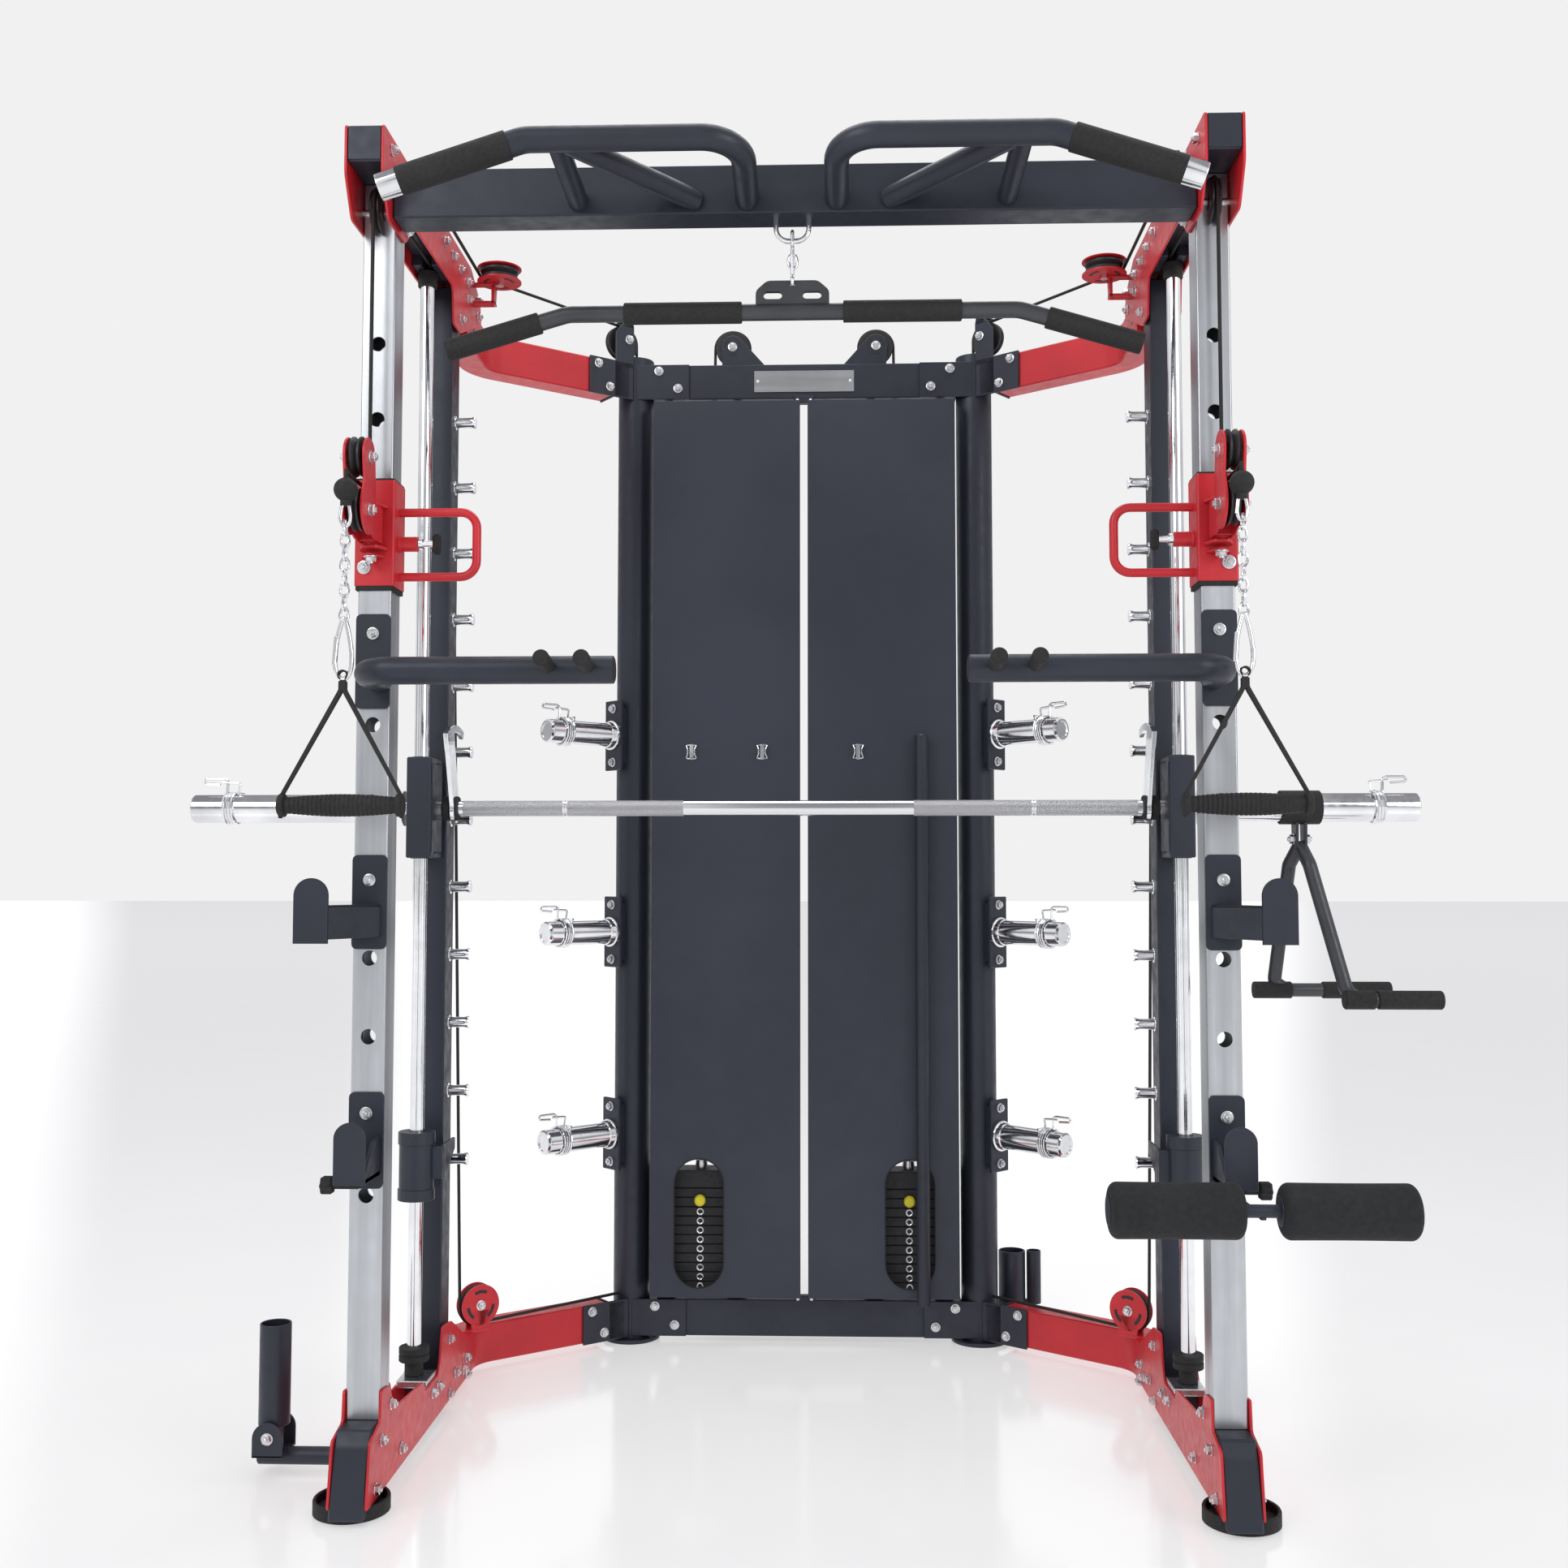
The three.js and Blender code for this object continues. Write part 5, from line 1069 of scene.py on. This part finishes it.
def makeCarriage(side, s):
    size = carriageSizes
    low, high = size["low"], size["low"] + size["high"]
    y, z = tubeHalf, low + size["pinUp"]
    swivelY = size["swivelY"]
    shell = Shape().sleeve(roundedRect(s * (half - 32), s * (half + 32), -5.5, 58.5, 4),
                           roundedRect(s * (half - 28), s * (half + 28), -1.5, 54.5, 1.5), low + 3, high)
    edge = s * (half - 30)
    far = s * (half - size["guardReach"])
    guard = [(edge, y, low + size["guardLow"]), (far, y, low + size["guardLow"]),
             (far, y, low + size["guardHigh"]), (edge, y, low + size["guardHigh"])]
    shell.pipe(guard, 7, 26, 24, 8)
    shell.lathe((edge, y, z), (edge - s, y, z), [(0, 12), (3, 13.5), (7, 12), (31, 12), (32, 11), (32, 7)],
                32)
    shelf = [(s * (half - 24), -4.5), (s * (half + 24), -4.5), (s * (half + 12), -36), (s * (half - 12), -36)]
    for level in (size["swivelLow"] - 6, size["swivelHigh"] + 1):
        shell.plateZ(roundedOutline(shelf, 5), level, level + 5, 0.8)
    shell.flat([(s * (half - 20), -5), (s * (half + 20), -5), (s * (half + 4), -34), (s * (half - 4), -34)],
               (0, 0, 1466), (1, 0, 0), (0, 1, 0), 4, 0.6)
    body = f"{side}_carriage"
    piece(f"{side}Carriage", shell, "redPaint", body, [body])
    liner = Shape()
    around = roundedRect(s * (half - 30.5), s * (half + 30.5), -4, 57, 3)
    inside = roundedRect(s * (half - 27.4), s * (half + 27.4), -0.9, 53.9, 1)
    for start, end in ((low - 4, low + 6), (high - 4, high + 3)):
        liner.sleeve(around, inside, start, end, 0.6)
    piece(f"{side}CarriageLiner", liner, "gripRubber", body)
    post = Shape().rod((s * half, swivelY, 1481), (s * half, swivelY, 1553), 5, 20)
    places = [((s * half, swivelY, 1466), (0, 0, -1)), ((s * (half + 16), -5.5, 1452), (0, -1, 0))]
    copies(f"{side}CarriageBolts", boltShape(boltSizes), places, "zincBolt", body, 0.8)
    piece(f"{side}SwivelPost", post, "zincBolt", body)
    pin = s * (half - 32)
    knob = Shape().plateX(roundedRect(y - 8, y + 8, z - 17, z + 17, 8), pin - s * 54, pin - s * 66, 2.5)
    piece(f"{side}PinGrip", knob, "gripRubber", f"{side}_pop_pin", [f"{side}_pop_pin"])
    shaft = Shape().lathe((pin + s * 2, y, z), (pin - s * 60, y, z),
                          [(0, 5), (33, 5.5), (34, 9), (40, 9), (41, 5.5), (58, 5)], 24)
    piece(f"{side}PinShaft2", shaft, "chrome", f"{side}_pop_pin")


def makeSwivel(side, s):
    size, x, postY = wheelSizes, s * half, carriageSizes["swivelY"]
    outline = [(-20, 1543), (-56, 1543), (-60, 1582)] + arc((size["y"], size["upperZ"]), 30, -10, 190, 16)
    outline += [(-116, 1566)] + arc((size["y"], size["lowerZ"]), 38, 160, 300, 14) + [(-56, 1486),
            (-20, 1486)]
    cheeks = Shape()
    for t in (-1, 1):
        low = x + t * 15 - 2
        cheeks.plateX(roundedOutline(outline, 3, 1), low, low + 4, 0.8)
    cheeks.lathe((x, postY, 1484), (x, postY, 1485),
                 [(0, 6.6), (0, 11), (1, 12), (59, 12), (60, 11), (60, 6.6)], 32, True)
    cheeks.block(x - 14, x + 14, -40, -28, 1488, 1540, 1)
    body = f"{side}_swivel"
    piece(f"{side}Swivel", cheeks, "redPaint", body, [body])
    nuts = [((x + t * 17, size["y"], z), (t, 0, 0)) for z in (size["upperZ"], size["lowerZ"]) for t in (-1,
            1)]
    copies(f"{side}SwivelNuts", boltShape(boltSizes), nuts, "zincBolt", body, 0.78)
    for which in ("upper", "lower"):
        wheel = grooved((x, size["y"], size[which + "Z"]), (1, 0, 0), size[which] - 4.5, 16)
        name = f"{side}_{which}_wheel"
        piece(f"{side}{which.title()}Wheel", wheel, "pulleyPlastic", name, [name])
    y = size["ballY"]
    cord = Shape().pipe([(x, -ropeReach, 1652), (x, -ropeReach, 1600), (x, -66, 1566), (x, -130, 1566)], 3,
                        14, 16, 6)
    cord.pipe([(x, -128, 1566), (x, y, 1568), (x, y, 1560)], 3, 5, 16, 6)
    piece(f"{side}WheelCord", cord, "cableSheath", body)


chainSizes = dict(top=1492, bottom=1342, links=8, wire=2.1, wide=6.2)


def ovalRoute(x, y, z, wide, high, count=20):
    turns = [2 * math.pi * i / count for i in range(count)]
    return [(x + wide * math.cos(t), y, z + high * math.sin(t)) for t in turns]


def snapHook(shape, x, y, top, bottom, wide, wire):
    # pear-shaped hook: narrow eye at the top, wide at the bottom
    mid = (top + bottom) / 2
    long = top - bottom
    route = []
    for i in range(40):
        t = 2 * math.pi * i / 40
        width = wide * (0.68 - 0.32 * math.sin(t))
        route.append((x + width * math.cos(t), y, mid + long / 2 * math.sin(t)))
    shape.pipe(route, wire, 0.1, 12, 1, 0, True)
    gate = x - wide * 0.74
    shape.rod((gate - 1, y, mid - long * 0.28), (gate + wide * 0.14, y, mid + long * 0.2), wire * 1.15, 12)
    return shape


handleSizes = dict(ball=18, gripZ=1069, gripHalf=93, ribs=23, ribStep=6.8)


def makeHandle(side, s):
    size = wheelSizes
    x, y, z = s * half, size["ballY"], size["ballZ"]
    body = f"{side}_cable_handle"
    ballRadius = handleSizes["ball"]
    turns = [math.radians(a) for a in range(20, 165, 9)]
    rows = [(0.2, 5)] + [(ballRadius - ballRadius * math.cos(t),
                          ballRadius * math.sin(t)) for t in turns] + [(35.8, 5)]
    ball = Shape().lathe((x, y, z - ballRadius), (x, y, z), rows, 36)
    ball.lathe((x, y, z - 24), (x, y, z - 23), [(0, 6), (0, 8), (9, 8), (9, 5)], 24)
    grip = Shape()
    ribs = [(0, 11), (0.5, 15), (2, 17.2), (9, 17.2), (10.5, 15), (11, 12)]
    for i in range(handleSizes["ribs"]):
        place = 15 + i * handleSizes["ribStep"]
        swell = 12.2 + 4.6 * math.sin(math.pi * (place - 12) / 162)
        ribs += [(place, swell), (place + 3.8, swell), (place + 4.6, swell - 0.8), (place + 6.0, swell - 0.8)]
    ribs += [(175, 12), (175.5, 15), (177, 17.2), (184, 17.2), (185.5, 15), (186, 11)]
    gripZ = handleSizes["gripZ"]
    grip.lathe((x - handleSizes["gripHalf"], y, gripZ), (x, y, gripZ), ribs, 40)
    ball.join(grip)
    piece(f"{side}Grip", ball, "gripRubber", body, [body])
    strap = Shape()
    drawn = ((x, y + 4.5, 0), (1, 0, 0), (0, 0, 1), 9)
    leg = ((2, 1248), (8, 1236), (92, 1082), (92, 1050), (88, 1050), (88, 1080), (3, 1232), (-1, 1240))
    for t in (-1, 1):
        strap.flat([(t * a, b) for a, b in leg], *drawn, 0.6)
    strap.flat(arc((0, 1262), 8, -60, 240, 18) + arc((0, 1262), 5.4, 240, -60, 18), *drawn, 0.4)
    strap.block(x - 6, x + 6, y - 5, y + 5, 1238, 1254, 2)
    piece(f"{side}Strap", strap, "webbing", body)
    hooks = snapHook(Shape(), x, y, 1347, 1256, 17, 3.4)
    snapHook(hooks, x, y, 1530, 1484, 10, 2.6)
    piece(f"{side}SnapHooks", hooks, "chrome", body)
    chain = chainSizes
    step = (chain["top"] - chain["bottom"]) / chain["links"]
    link = Shape().pipe(ovalRoute(0, 0, 0, chain["wide"], step * 0.62), chain["wire"], 0.1, 8, 1, 0, True)
    places = [((x, y, chain["bottom"] + step * (i + 0.5)), (0, 0, 1)) for i in range(chain["links"])]
    copies(f"{side}Chain", link, places, "chrome", body, 1.0, math.pi / 2)


def straightCord(name, start, end, node):
    start, end = Vector(start), Vector(end)
    length = (end - start).length
    count = max(3, int(length / 18))
    profile = [(0, 2.6)] + [(0.4 + (length - 0.8) * i / count, 3) for i in range(count + 1)] + [(length, 2.6)]
    made = settle(Shape().lathe(start, end, profile, 16).object(name), "cableSheath", None)
    tuple(spot(*start))
    tuple(spot(*end))
    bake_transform(made)
    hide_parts(node)
    return made


def makeCables(side, s):
    x, reach, corner = s * half, ropeReach, cornerWheel
    wheelZ, along, sideways = columnSizes["wheelZ"], baseWheel["along"], baseWheel["sideways"]
    straightCord(f"{side}FrontCable", (x, -reach, 1648), (x, -reach, 2020),
                 f"{side}_front_cable")
    y = wheelSizes["ballY"]
    straightCord(f"{side}HandleCord", (x, y, 1558), (x, y, 1572),
                 f"{side}_handle_cord")
    over = 2026 + reach
    # the cable leaves the column's wheel and touches the corner wheel on its way to the anchor
    lead = armPoint(1, reach + 6, 0, wheelZ + reach)
    away = (lead[0] - (inner - corner["inset"]), lead[1] - corner["y"])
    turn = math.atan2(-away[0], away[1]) + math.asin(reach / math.hypot(*away))
    cornerX, cornerY = inner - corner["inset"] + reach, corner["y"] + reach * math.tan(turn / 2)
    low = baseWheel["z"] - reach
    route = [(x, -reach, 2020), (x, -reach, over), (x, 482, over), armPoint(s, along + reach, sideways, low),
             (s * columnX, columnY, low), (s * columnX, columnY, wheelZ + reach),
             armPoint(s, reach + 6, 0, wheelZ + reach), (s * cornerX, cornerY, corner["z"]),
             (s * cornerX, 50.3, corner["z"])]
    frameCable = Shape().pipe(route, 3, reach - 0.5, 14, 10)
    piece(f"{side}FrameCable", frameCable, "cableSheath", nodes=[f"{side}_frame_cable"])
    noseX, y, noseZ = crossSizes["noseX"], crossSizes["noseY"], crossSizes["noseZ"]
    stack = stackSizes
    top = stack["bottom"] + stack["count"] * stack["plate"] + 0.3 + stack["head"] + 40.3
    b = (s * stack["x"], y, top)
    over = [(s * (noseX - reach), y, 2060.3), (s * (noseX - reach), y, noseZ + reach),
            (s * (noseX + reach), y, noseZ + reach), b]
    fixed = bentRoute(over, reach - 0.5, 10)
    tail = fixed[-2]
    steps = 60
    points = fixed[:-1] + [tail.lerp(Vector(b), i / steps) for i in range(1, steps + 1)]
    shape = Shape().pipe([tuple(p) for p in points], 3, 0.5, 14, 1)
    made = settle(shape.object(f"{side}StackCable"), "cableSheath", None)
    tuple(spot(*b))
    tuple(spot(*tail))
    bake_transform(made)
    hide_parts(f"{side}_stack_cable")


def attachPlate(low, high, s, corner=8):
    return Shape().plateY(roundedRect(s * (inner - 1), s * (outer + 1), low, high, corner), -5.3, -0.3, 0.9)


dipSizes = dict(z=1274, front=-112, tip=265, radius=21, bend=50, posts=(304, 363))


def roundTopped(s, middle, wide, top, low):
    # a lip: square below, half round above
    turn = (0, 180) if s > 0 else (180, 0)
    return [(s * (middle - wide), low), (s * (middle + wide), low)] + arc((s * middle, top), wide, *turn, 20)


def makeAttachments(side, s):
    size = dipSizes
    z, front = size["z"], size["front"]
    arm = attachPlate(1228, 1378, s)
    route = [(s * (half - 12), -4, z), (s * (half - 12), front, z), (s * size["tip"], front, z)]
    arm.pipe(route, size["radius"], size["bend"], 36, 12, 1.5)
    piece(f"{side}DipArm", arm, "blackPaint", nodes=[f"{side}_dip_arm"])
    posts = Shape()
    for x in size["posts"]:
        posts.lathe((s * x, -120, z + 2), (s * x, -186, z + 9.7),
                    [(0, 10), (15, 10), (15.5, 12), (64, 12.3), (66, 10.5)], 28)
    posts.lathe((s * 267, front, z), (s * 263.6, front, z), [(0, 18), (2, 18), (3, 17), (3.4, 14)], 32)
    piece(f"{side}DipPosts", posts, "gripRubber")
    cup = attachPlate(851, 998, s)
    cup.plateZ([(s * (inner + 6), -4.3), (s * (outer - 2), -4.3), (s * 739, -112), (s * 692, -112)], 870, 918,
               1.2)
    cup.plateY(roundTopped(s, 718, 26, 936, 864), -118, -111, 1)
    piece(f"{side}JCup", cup, "blackPaint", nodes=[f"{side}_j_cup"])
    pad = Shape().flat([(s * (inner + 8), -6), (s * (outer - 4), -6), (s * 737, -110), (s * 694, -110)],
                       (0, 0, 918),
                       (1, 0, 0), (0, 1, 0), 2.6, 0.8)
    piece(f"{side}JCupPad", pad, "gripRubber")
    catch = attachPlate(482, 630, s)
    catch.block(s * (inner + 4), s * (outer - 3), -88, -4.3, 503, 511, 1)
    catch.plateX([(-4, 503), (-88, 503), (-88, 511), (-40, 560), (-4, 566)], s * (inner + 4), s * (inner + 9),
                 0.8)
    catch.plateY(roundTopped(s, inner + 26, 24, 572, 503), -94, -87, 1)
    piece(f"{side}LowerCatch", catch, "blackPaint", nodes=[f"{side}_lower_catch"])
    knob = Shape().rod((s * (inner + 20), -60, 498), (s * (outer + 8), -60, 498), 6, 20)
    lobes = []
    for i in range(48):
        t = 2 * math.pi * i / 48
        r = 13 + 1.4 * math.cos(6 * t)
        lobes.append((r * math.cos(t), r * math.sin(t)))
    knob.flat(lobes, (s * (outer + 6), -60, 498), (0, 1, 0), (0, 0, 1), s * 18, 2)
    piece(f"{side}CatchKnob", knob, "gripRubber")
    boltRow([(s * half, -5.3, 1347), (s * half, -5.3, 959), (s * half, -5.3, 598)], (0, -1, 0))


pullSizes = dict(low=2002, high=2080, rootZ=2024, tube=19, bend=62, corner=70, reach=392, barY=-196,
                 barZ=2052,
                 tip=(604, -206, 1978), eye=4)


def makePullUp():
    size = pullSizes
    h, low, tube, rootZ = inner - 4.6, size["low"], size["tube"], size["rootZ"]
    barY, barZ, (tipX, tipY, tipZ) = size["barY"], size["barZ"], size["tip"]
    beam = Shape().block(-h, h, -40, 20, low, size["high"], 3)
    grips, caps = Shape(), Shape()
    for s in (-1, 1):
        bend, tip = Vector((s * size["reach"], barY, barZ)), Vector((s * tipX, tipY, tipZ))
        root, corner = (s * size["corner"], -36, rootZ), (s * size["corner"], barY, barZ)
        beam.pipe([root, corner, tuple(bend), tuple(tip)], tube, size["bend"], 32, 12, 1)
        for start, end, radius in ((150, 330, 17), (336, 344, 16)):
            beam.pipe([(s * start, -36, rootZ), (s * end, barY + 6, barZ - 2)], radius, 5, 28, 1, 1)
        way = (tip - bend).normalized()
        span = (tip - bend).length
        grips.lathe(bend + way * 24, tip, [(0, 19.4), (0.6, 21), (2, 21.6), (span - 56, 21.6),
                                           (span - 54.4, 21),
                                           (span - 54, 19.4)], 36)
        caps.lathe(tip - way * 30, tip, [(0, 19.2), (0.4, 19.8), (29.5, 19.8), (31, 19), (31.6, 17),
                                         (31.6, 4)], 36)
    piece("pullUpBeam", beam, "blackPaint", nodes=["pull_up_beam"])
    piece("pullUpGrips", grips, "gripRubber")
    hoop = [(-26, -10, low + 3), (-26, -10, low - 34), (26, -10, low - 34), (26, -10, low + 3)]
    eye = Shape().pipe(hoop, size["eye"], 20, 16, 8)
    piece("pullUpEye", caps.join(eye), "chrome")


latSizes = dict(y=-12, z=1853, bend=356, tip=547, drop=56, radius=13)


def makeLatBar():
    size = latSizes
    y, z, tipX, drop = size["y"], size["z"], size["tip"], size["drop"]
    route = [(-tipX, y, z - drop), (-size["bend"], y, z), (size["bend"], y, z), (tipX, y, z - drop)]
    bar = Shape().pipe(route, size["radius"], 60, 28, 8)
    outline = [(-58, z + 4), (-58, z + 34), (-40, z + 50), (40, z + 50), (58, z + 34), (58, z + 4)]
    plate = Shape().plateY(roundedOutline(outline, 6), y - 4, y + 4, 0.9)
    tool = Shape()
    for s in (-1, 1):
        tool.plateY(roundedRect(s * 16, s * 46, z + 20, z + 32, 5.9), y - 9, y + 9, 0)
    tool.rod((0, y - 9, z + 43), (0, y + 9, z + 43), 4, 20, 0.1)
    bar.join(plate.carved(tool))
    piece("latBar", bar, "legTube", "lat_bar", ["lat_bar"])
    grips = Shape()
    for s in (-1, 1):
        grips.lathe((s * 80, y, z), (s * 81, y, z),
                    [(0, 13.2), (0, 16), (1.5, 17), (184.5, 17), (186, 16), (186, 13.2)], 32)
        start, end = Vector((s * 400, y, z - 13)), Vector((s * tipX, y, z - drop - 0.6))
        long = (end - start).length
        grips.lathe(start, end, [(0, 13.2), (0, 16), (1.5, 17), (long - 1, 17), (long + 1, 15.5),
                                 (long + 1, 3)], 32)
    piece("latBarGrips", grips, "gripRubber", "lat_bar")
    hook = ((3, 1896), (-8, 1893), (-8, 1905), (0, 1911), (0, 1956), (-8, 1960), (-8, 1978), (2, 1984),
            (9, 1976))
    link = Shape().pipe([(0, y + a, b) for a, b in hook], 3, 4, 14, 5)
    link.pipe(ovalRoute(0.5, y, 1934, 7, 12), 2.4, 0.1, 10, 1, 0, True)
    piece("latBarLink", link, "chrome", "lat_bar")


def makeLandmine():
    size = landmineSizes
    x, y, low, radius = size["x"], size["y"], size["low"], size["radius"]
    rows = [(0, radius - 1), (1, radius), (160, radius), (161, radius - 0.8), (161, radius - 2.2),
            (160, radius - 3), (14, radius - 3), (13.9, 1), (0, 1)]
    tube = Shape().lathe((x, y, low), (x, y, low + 1), rows, 44, True)
    tongue = [(y - 16, low + 4), (y - 16, 52), (y + 16, 52), (y + 16, low + 4)]
    tube.plateX(roundedOutline(tongue, 10), x - 12, x + 12, 1)
    piece("landmineTube", tube, "blackPaint", "landmine_tube", ["landmine_tube"])


rowSizes = dict(x=884, y=366, z=1086, tube=12, front=-104, frontZ=756, back=52, backZ=762)


def makeRowHandle():
    size, body = rowSizes, "row_handle"
    x, y, z, tube = size["x"], size["y"], size["z"], size["tube"]
    frontY, frontZ, backY, backZ = y + size["front"], size["frontZ"], y + size["back"], size["backZ"]
    top = (x, y, 1020)
    legs = Shape().pipe([top, (x + 8, y - 30, 985), (x + 50, y - 90, 766), (x + 72, frontY, frontZ)], tube,
                        26, 28, 8)
    legs.pipe([top, (x - 12, y + 26, 985), (x - 34, y + 56, 776), (x - 16, backY, backZ + 2)], tube, 14, 28,
              8)
    legs.rod((x - 70, backY, backZ), (x + 60, backY, backZ), tube, 28)
    legs.rod((x + 42, frontY, frontZ), (1080, frontY, frontZ), tube, 28)
    piece("rowHandle", legs, "legTube", body, [body])
    ring = [(0, 26), (0, 29), (1, 30), (69, 30), (70, 29), (70, 26)]
    grips = Shape().lathe((x - 35, y, z), (x, y, z), ring, 44, True)
    for start, gripY, gripZ, rows in (
            (-72, backY, backZ, [(0, 10), (0, 14), (1.5, 15), (66, 15), (67, 14), (67, 12)]),
            (50, backY, backZ, [(0, 12), (0, 14), (1.5, 15), (118, 15), (120, 13.5), (120, 4)]),
            (40, frontY, frontZ, [(0, 4), (0, 14), (2, 16), (50, 16), (51, 15), (51, 12)]),
            (96, frontY, frontZ, [(0, 12), (0, 15), (1.5, 16), (106, 16), (108, 14.5), (108, 4)])):
        grips.lathe((x + start, gripY, gripZ), (x + start + 1, gripY, gripZ), rows, 28)
    piece("rowHandleGrips", grips, "gripRubber", body)
    ears = Shape()
    ear = roundedOutline([(y - 16, 1062), (y + 16, 1062), (y + 13, 1012), (y - 13, 1012)], 6)
    ears.plateX(ear, x - 10, x - 5, 0.8).plateX(ear, x + 5, x + 10, 0.8)
    piece("rowHandleEars", ears, "blackPaint", body)
    places = [((x + t * 10, y, 1030), (t, 0, 0)) for t in (-1, 1)]
    copies("rowHandleBolts", boltShape(boltSizes), places, "zincBolt", body, 0.75)


rollerSizes = dict(y=-158, z=488, radius=40, round=14, spans=((454, 648), (698, 894)))


def makeRoller():
    size = rollerSizes
    y, z, radius, soft = size["y"], size["z"], size["radius"], size["round"]
    steel = Shape().rod((456, y, z), (892, y, z), 9.5, 28, 1)
    for a, b in size["spans"]:
        for x, way in ((a, -1), (b, 1)):
            steel.lathe((x - way * 2, y, z), (x, y, z), [(0, 21), (1, 22), (1.8, 21.5), (2, 20), (2, 10)], 32)
    steel.block(half + 8, half + 16, y, -3.3, z - 11, z - 7, 1)
    steel.block(half + 8, half + 16, y - 6, y + 6, z - 12, z, 1)
    steel.block(half - 20, half + 20, -5.3, -0.3, 440, 479.7, 1)
    piece("legRollerBar", steel, "blackPaint", nodes=["leg_roller"])
    for k, (a, b) in enumerate(size["spans"]):
        # a foam roll with soft round ends, a shallow waist and a hollow where it meets each cap
        long = b - a
        corner = [(2 + (soft - 2) * (1 - math.cos(t)), radius - soft + soft * math.sin(t))
                  for t in (math.radians(90 * i / 8) for i in range(9))]
        rows = [(1.5, 12)] + corner
        rows += [(soft + (long - 2 * soft) * i / 40,
                  radius - 0.5 * math.sin(math.pi * i / 40)) for i in range(1, 40)]
        rows += [(long - along, thick) for along, thick in corner[::-1]] + [(long - 1.5, 12)]
        foam = piece(f"foamRoll{k + 1}", Shape().lathe((a, y, z), (b, y, z), rows, 64), "foamSkin")


for side, s in sides:
    makeUpright(side, s)
    makeTopFrame(side, s)
    makeBaseFrame(side, s)
    makeBaseArm(side, s)
    makeRearUpright(side, s)
    makeGuideRod(side, s)
    makeColumn(side, s)
print("side frames and columns made")
makeCrossbars()
for side, s in sides:
    makeStack(side, s)
    makeShroud(side, s)
print("stacks and shrouds made")
makeSmithBar()
for side, s in sides:
    makeCarrier(side, s)
    makeStopper(side, s)
    makeCarriage(side, s)
    makeSwivel(side, s)
    makeHandle(side, s)
    makeCables(side, s)
    makeAttachments(side, s)
print("bar, carriages and attachments made")
makePullUp()
makeLatBar()
makeLandmine()
makeRowHandle()
makeRoller()
copies("frameBolts", boltShape(boltSizes), bolts, "zincBolt", "frame", 0.72, 0.0, 1.0)
print("loose attachments and bolts made")


stageLook = dict(pale=(0.88, 0.88, 0.88, 1), strength=0.85, floorHalf=60000, floorGlow=0.46, floorRough=0.12,
                 floorTones=((0.52, 0.52, 0.525, 1), (0.56, 0.56, 0.56, 1)),
                 bands=((0.25, (0.34, 0.34, 0.36, 1)), (0.6, (0.98, 0.98, 1.0, 1))))
lamps = (dict(name="keyLamp", place=(-2.6, -3.4, 3.6), size=2.2, power=60),
         dict(name="fillLamp", place=(3.0, -3.0, 2.4), size=2.0, power=40),
         dict(name="topLamp", place=(0, 0.5, 4.2), size=2.5, power=40))
cameraSetting = dict(place=(0.0688, -2.90894, 0.9649), tilt=0.0569, turn=0.0328, lens=37.13, sensor=36)


def makeFloor(look):
    size = look["floorHalf"]
    floor = Shape().block(-size, size, -size, size, -20, -0.5, 1).object("floor")
    kit = finishKit("floorPaint")
    first, second = look["floorTones"]
    kit.surfaceIs(Base_Color=kit.blend(kit.noise(3, 2), first, second), Roughness=look["floorRough"],
                  Emission_Color=(1, 1, 1, 1), Emission_Strength=look["floorGlow"])
    floor.data.materials.append(kit.owner)


def makeWorld(look):
    # a plain pale backdrop; soft light and dark bands are what the chrome reflects
    kit = ShaderKit(bpy.data.worlds.new("studio"), "Background")
    bpy.context.scene.world = kit.owner
    around = kit.node("ShaderNodeTexCoord", "Generated")
    wave = kit.node("ShaderNodeTexWave", "Fac", Vector=around, Scale=0.9, Distortion=0.6)
    bands = kit.node("ShaderNodeValToRGB", "Color", {"stops": look["bands"]}, Fac=wave)
    kit.surfaceIs(Color=bands, Strength=look["strength"])
    seen = kit.node("ShaderNodeBackground", Color=look["pale"])
    straight = kit.node("ShaderNodeLightPath", "Is Camera Ray")
    choose = kit.node("ShaderNodeMixShader", Fac=straight).socket.node
    kit.feed(choose.inputs[1], Wire(kit, kit.surface.outputs[0]))
    kit.feed(choose.inputs[2], seen)
    kit.feed(kit.tree.nodes["World Output"].inputs["Surface"], Wire(kit, choose.outputs[0]))


def makeLamps():
    for look in lamps:
        light = bpy.data.lights.new(look["name"], "AREA")
        light.size = look["size"]
        light.energy = look["power"]
        lamp = bpy.data.objects.new(look["name"], light)
        lamp.location = look["place"]
        aim = Vector((0, 0, 1.1)) - Vector(look["place"])
        lamp.rotation_euler = aim.to_track_quat("-Z", "Y").to_euler()
        bpy.context.scene.collection.objects.link(lamp)


def makeCamera(setting):
    scene = bpy.context.scene
    camera = bpy.data.objects.new("camera", bpy.data.cameras.new("camera"))
    camera.data.lens = setting["lens"]
    camera.data.sensor_width = setting["sensor"]
    camera.location = setting["place"]
    camera.rotation_euler = (math.pi / 2 + setting["tilt"], 0, setting["turn"])
    scene.collection.objects.link(camera)
    scene.camera = camera
    scene.view_settings.view_transform = "Standard"


makeFloor(stageLook)
makeWorld(stageLook)
makeLamps()
makeCamera(cameraSetting)
print("stage made")
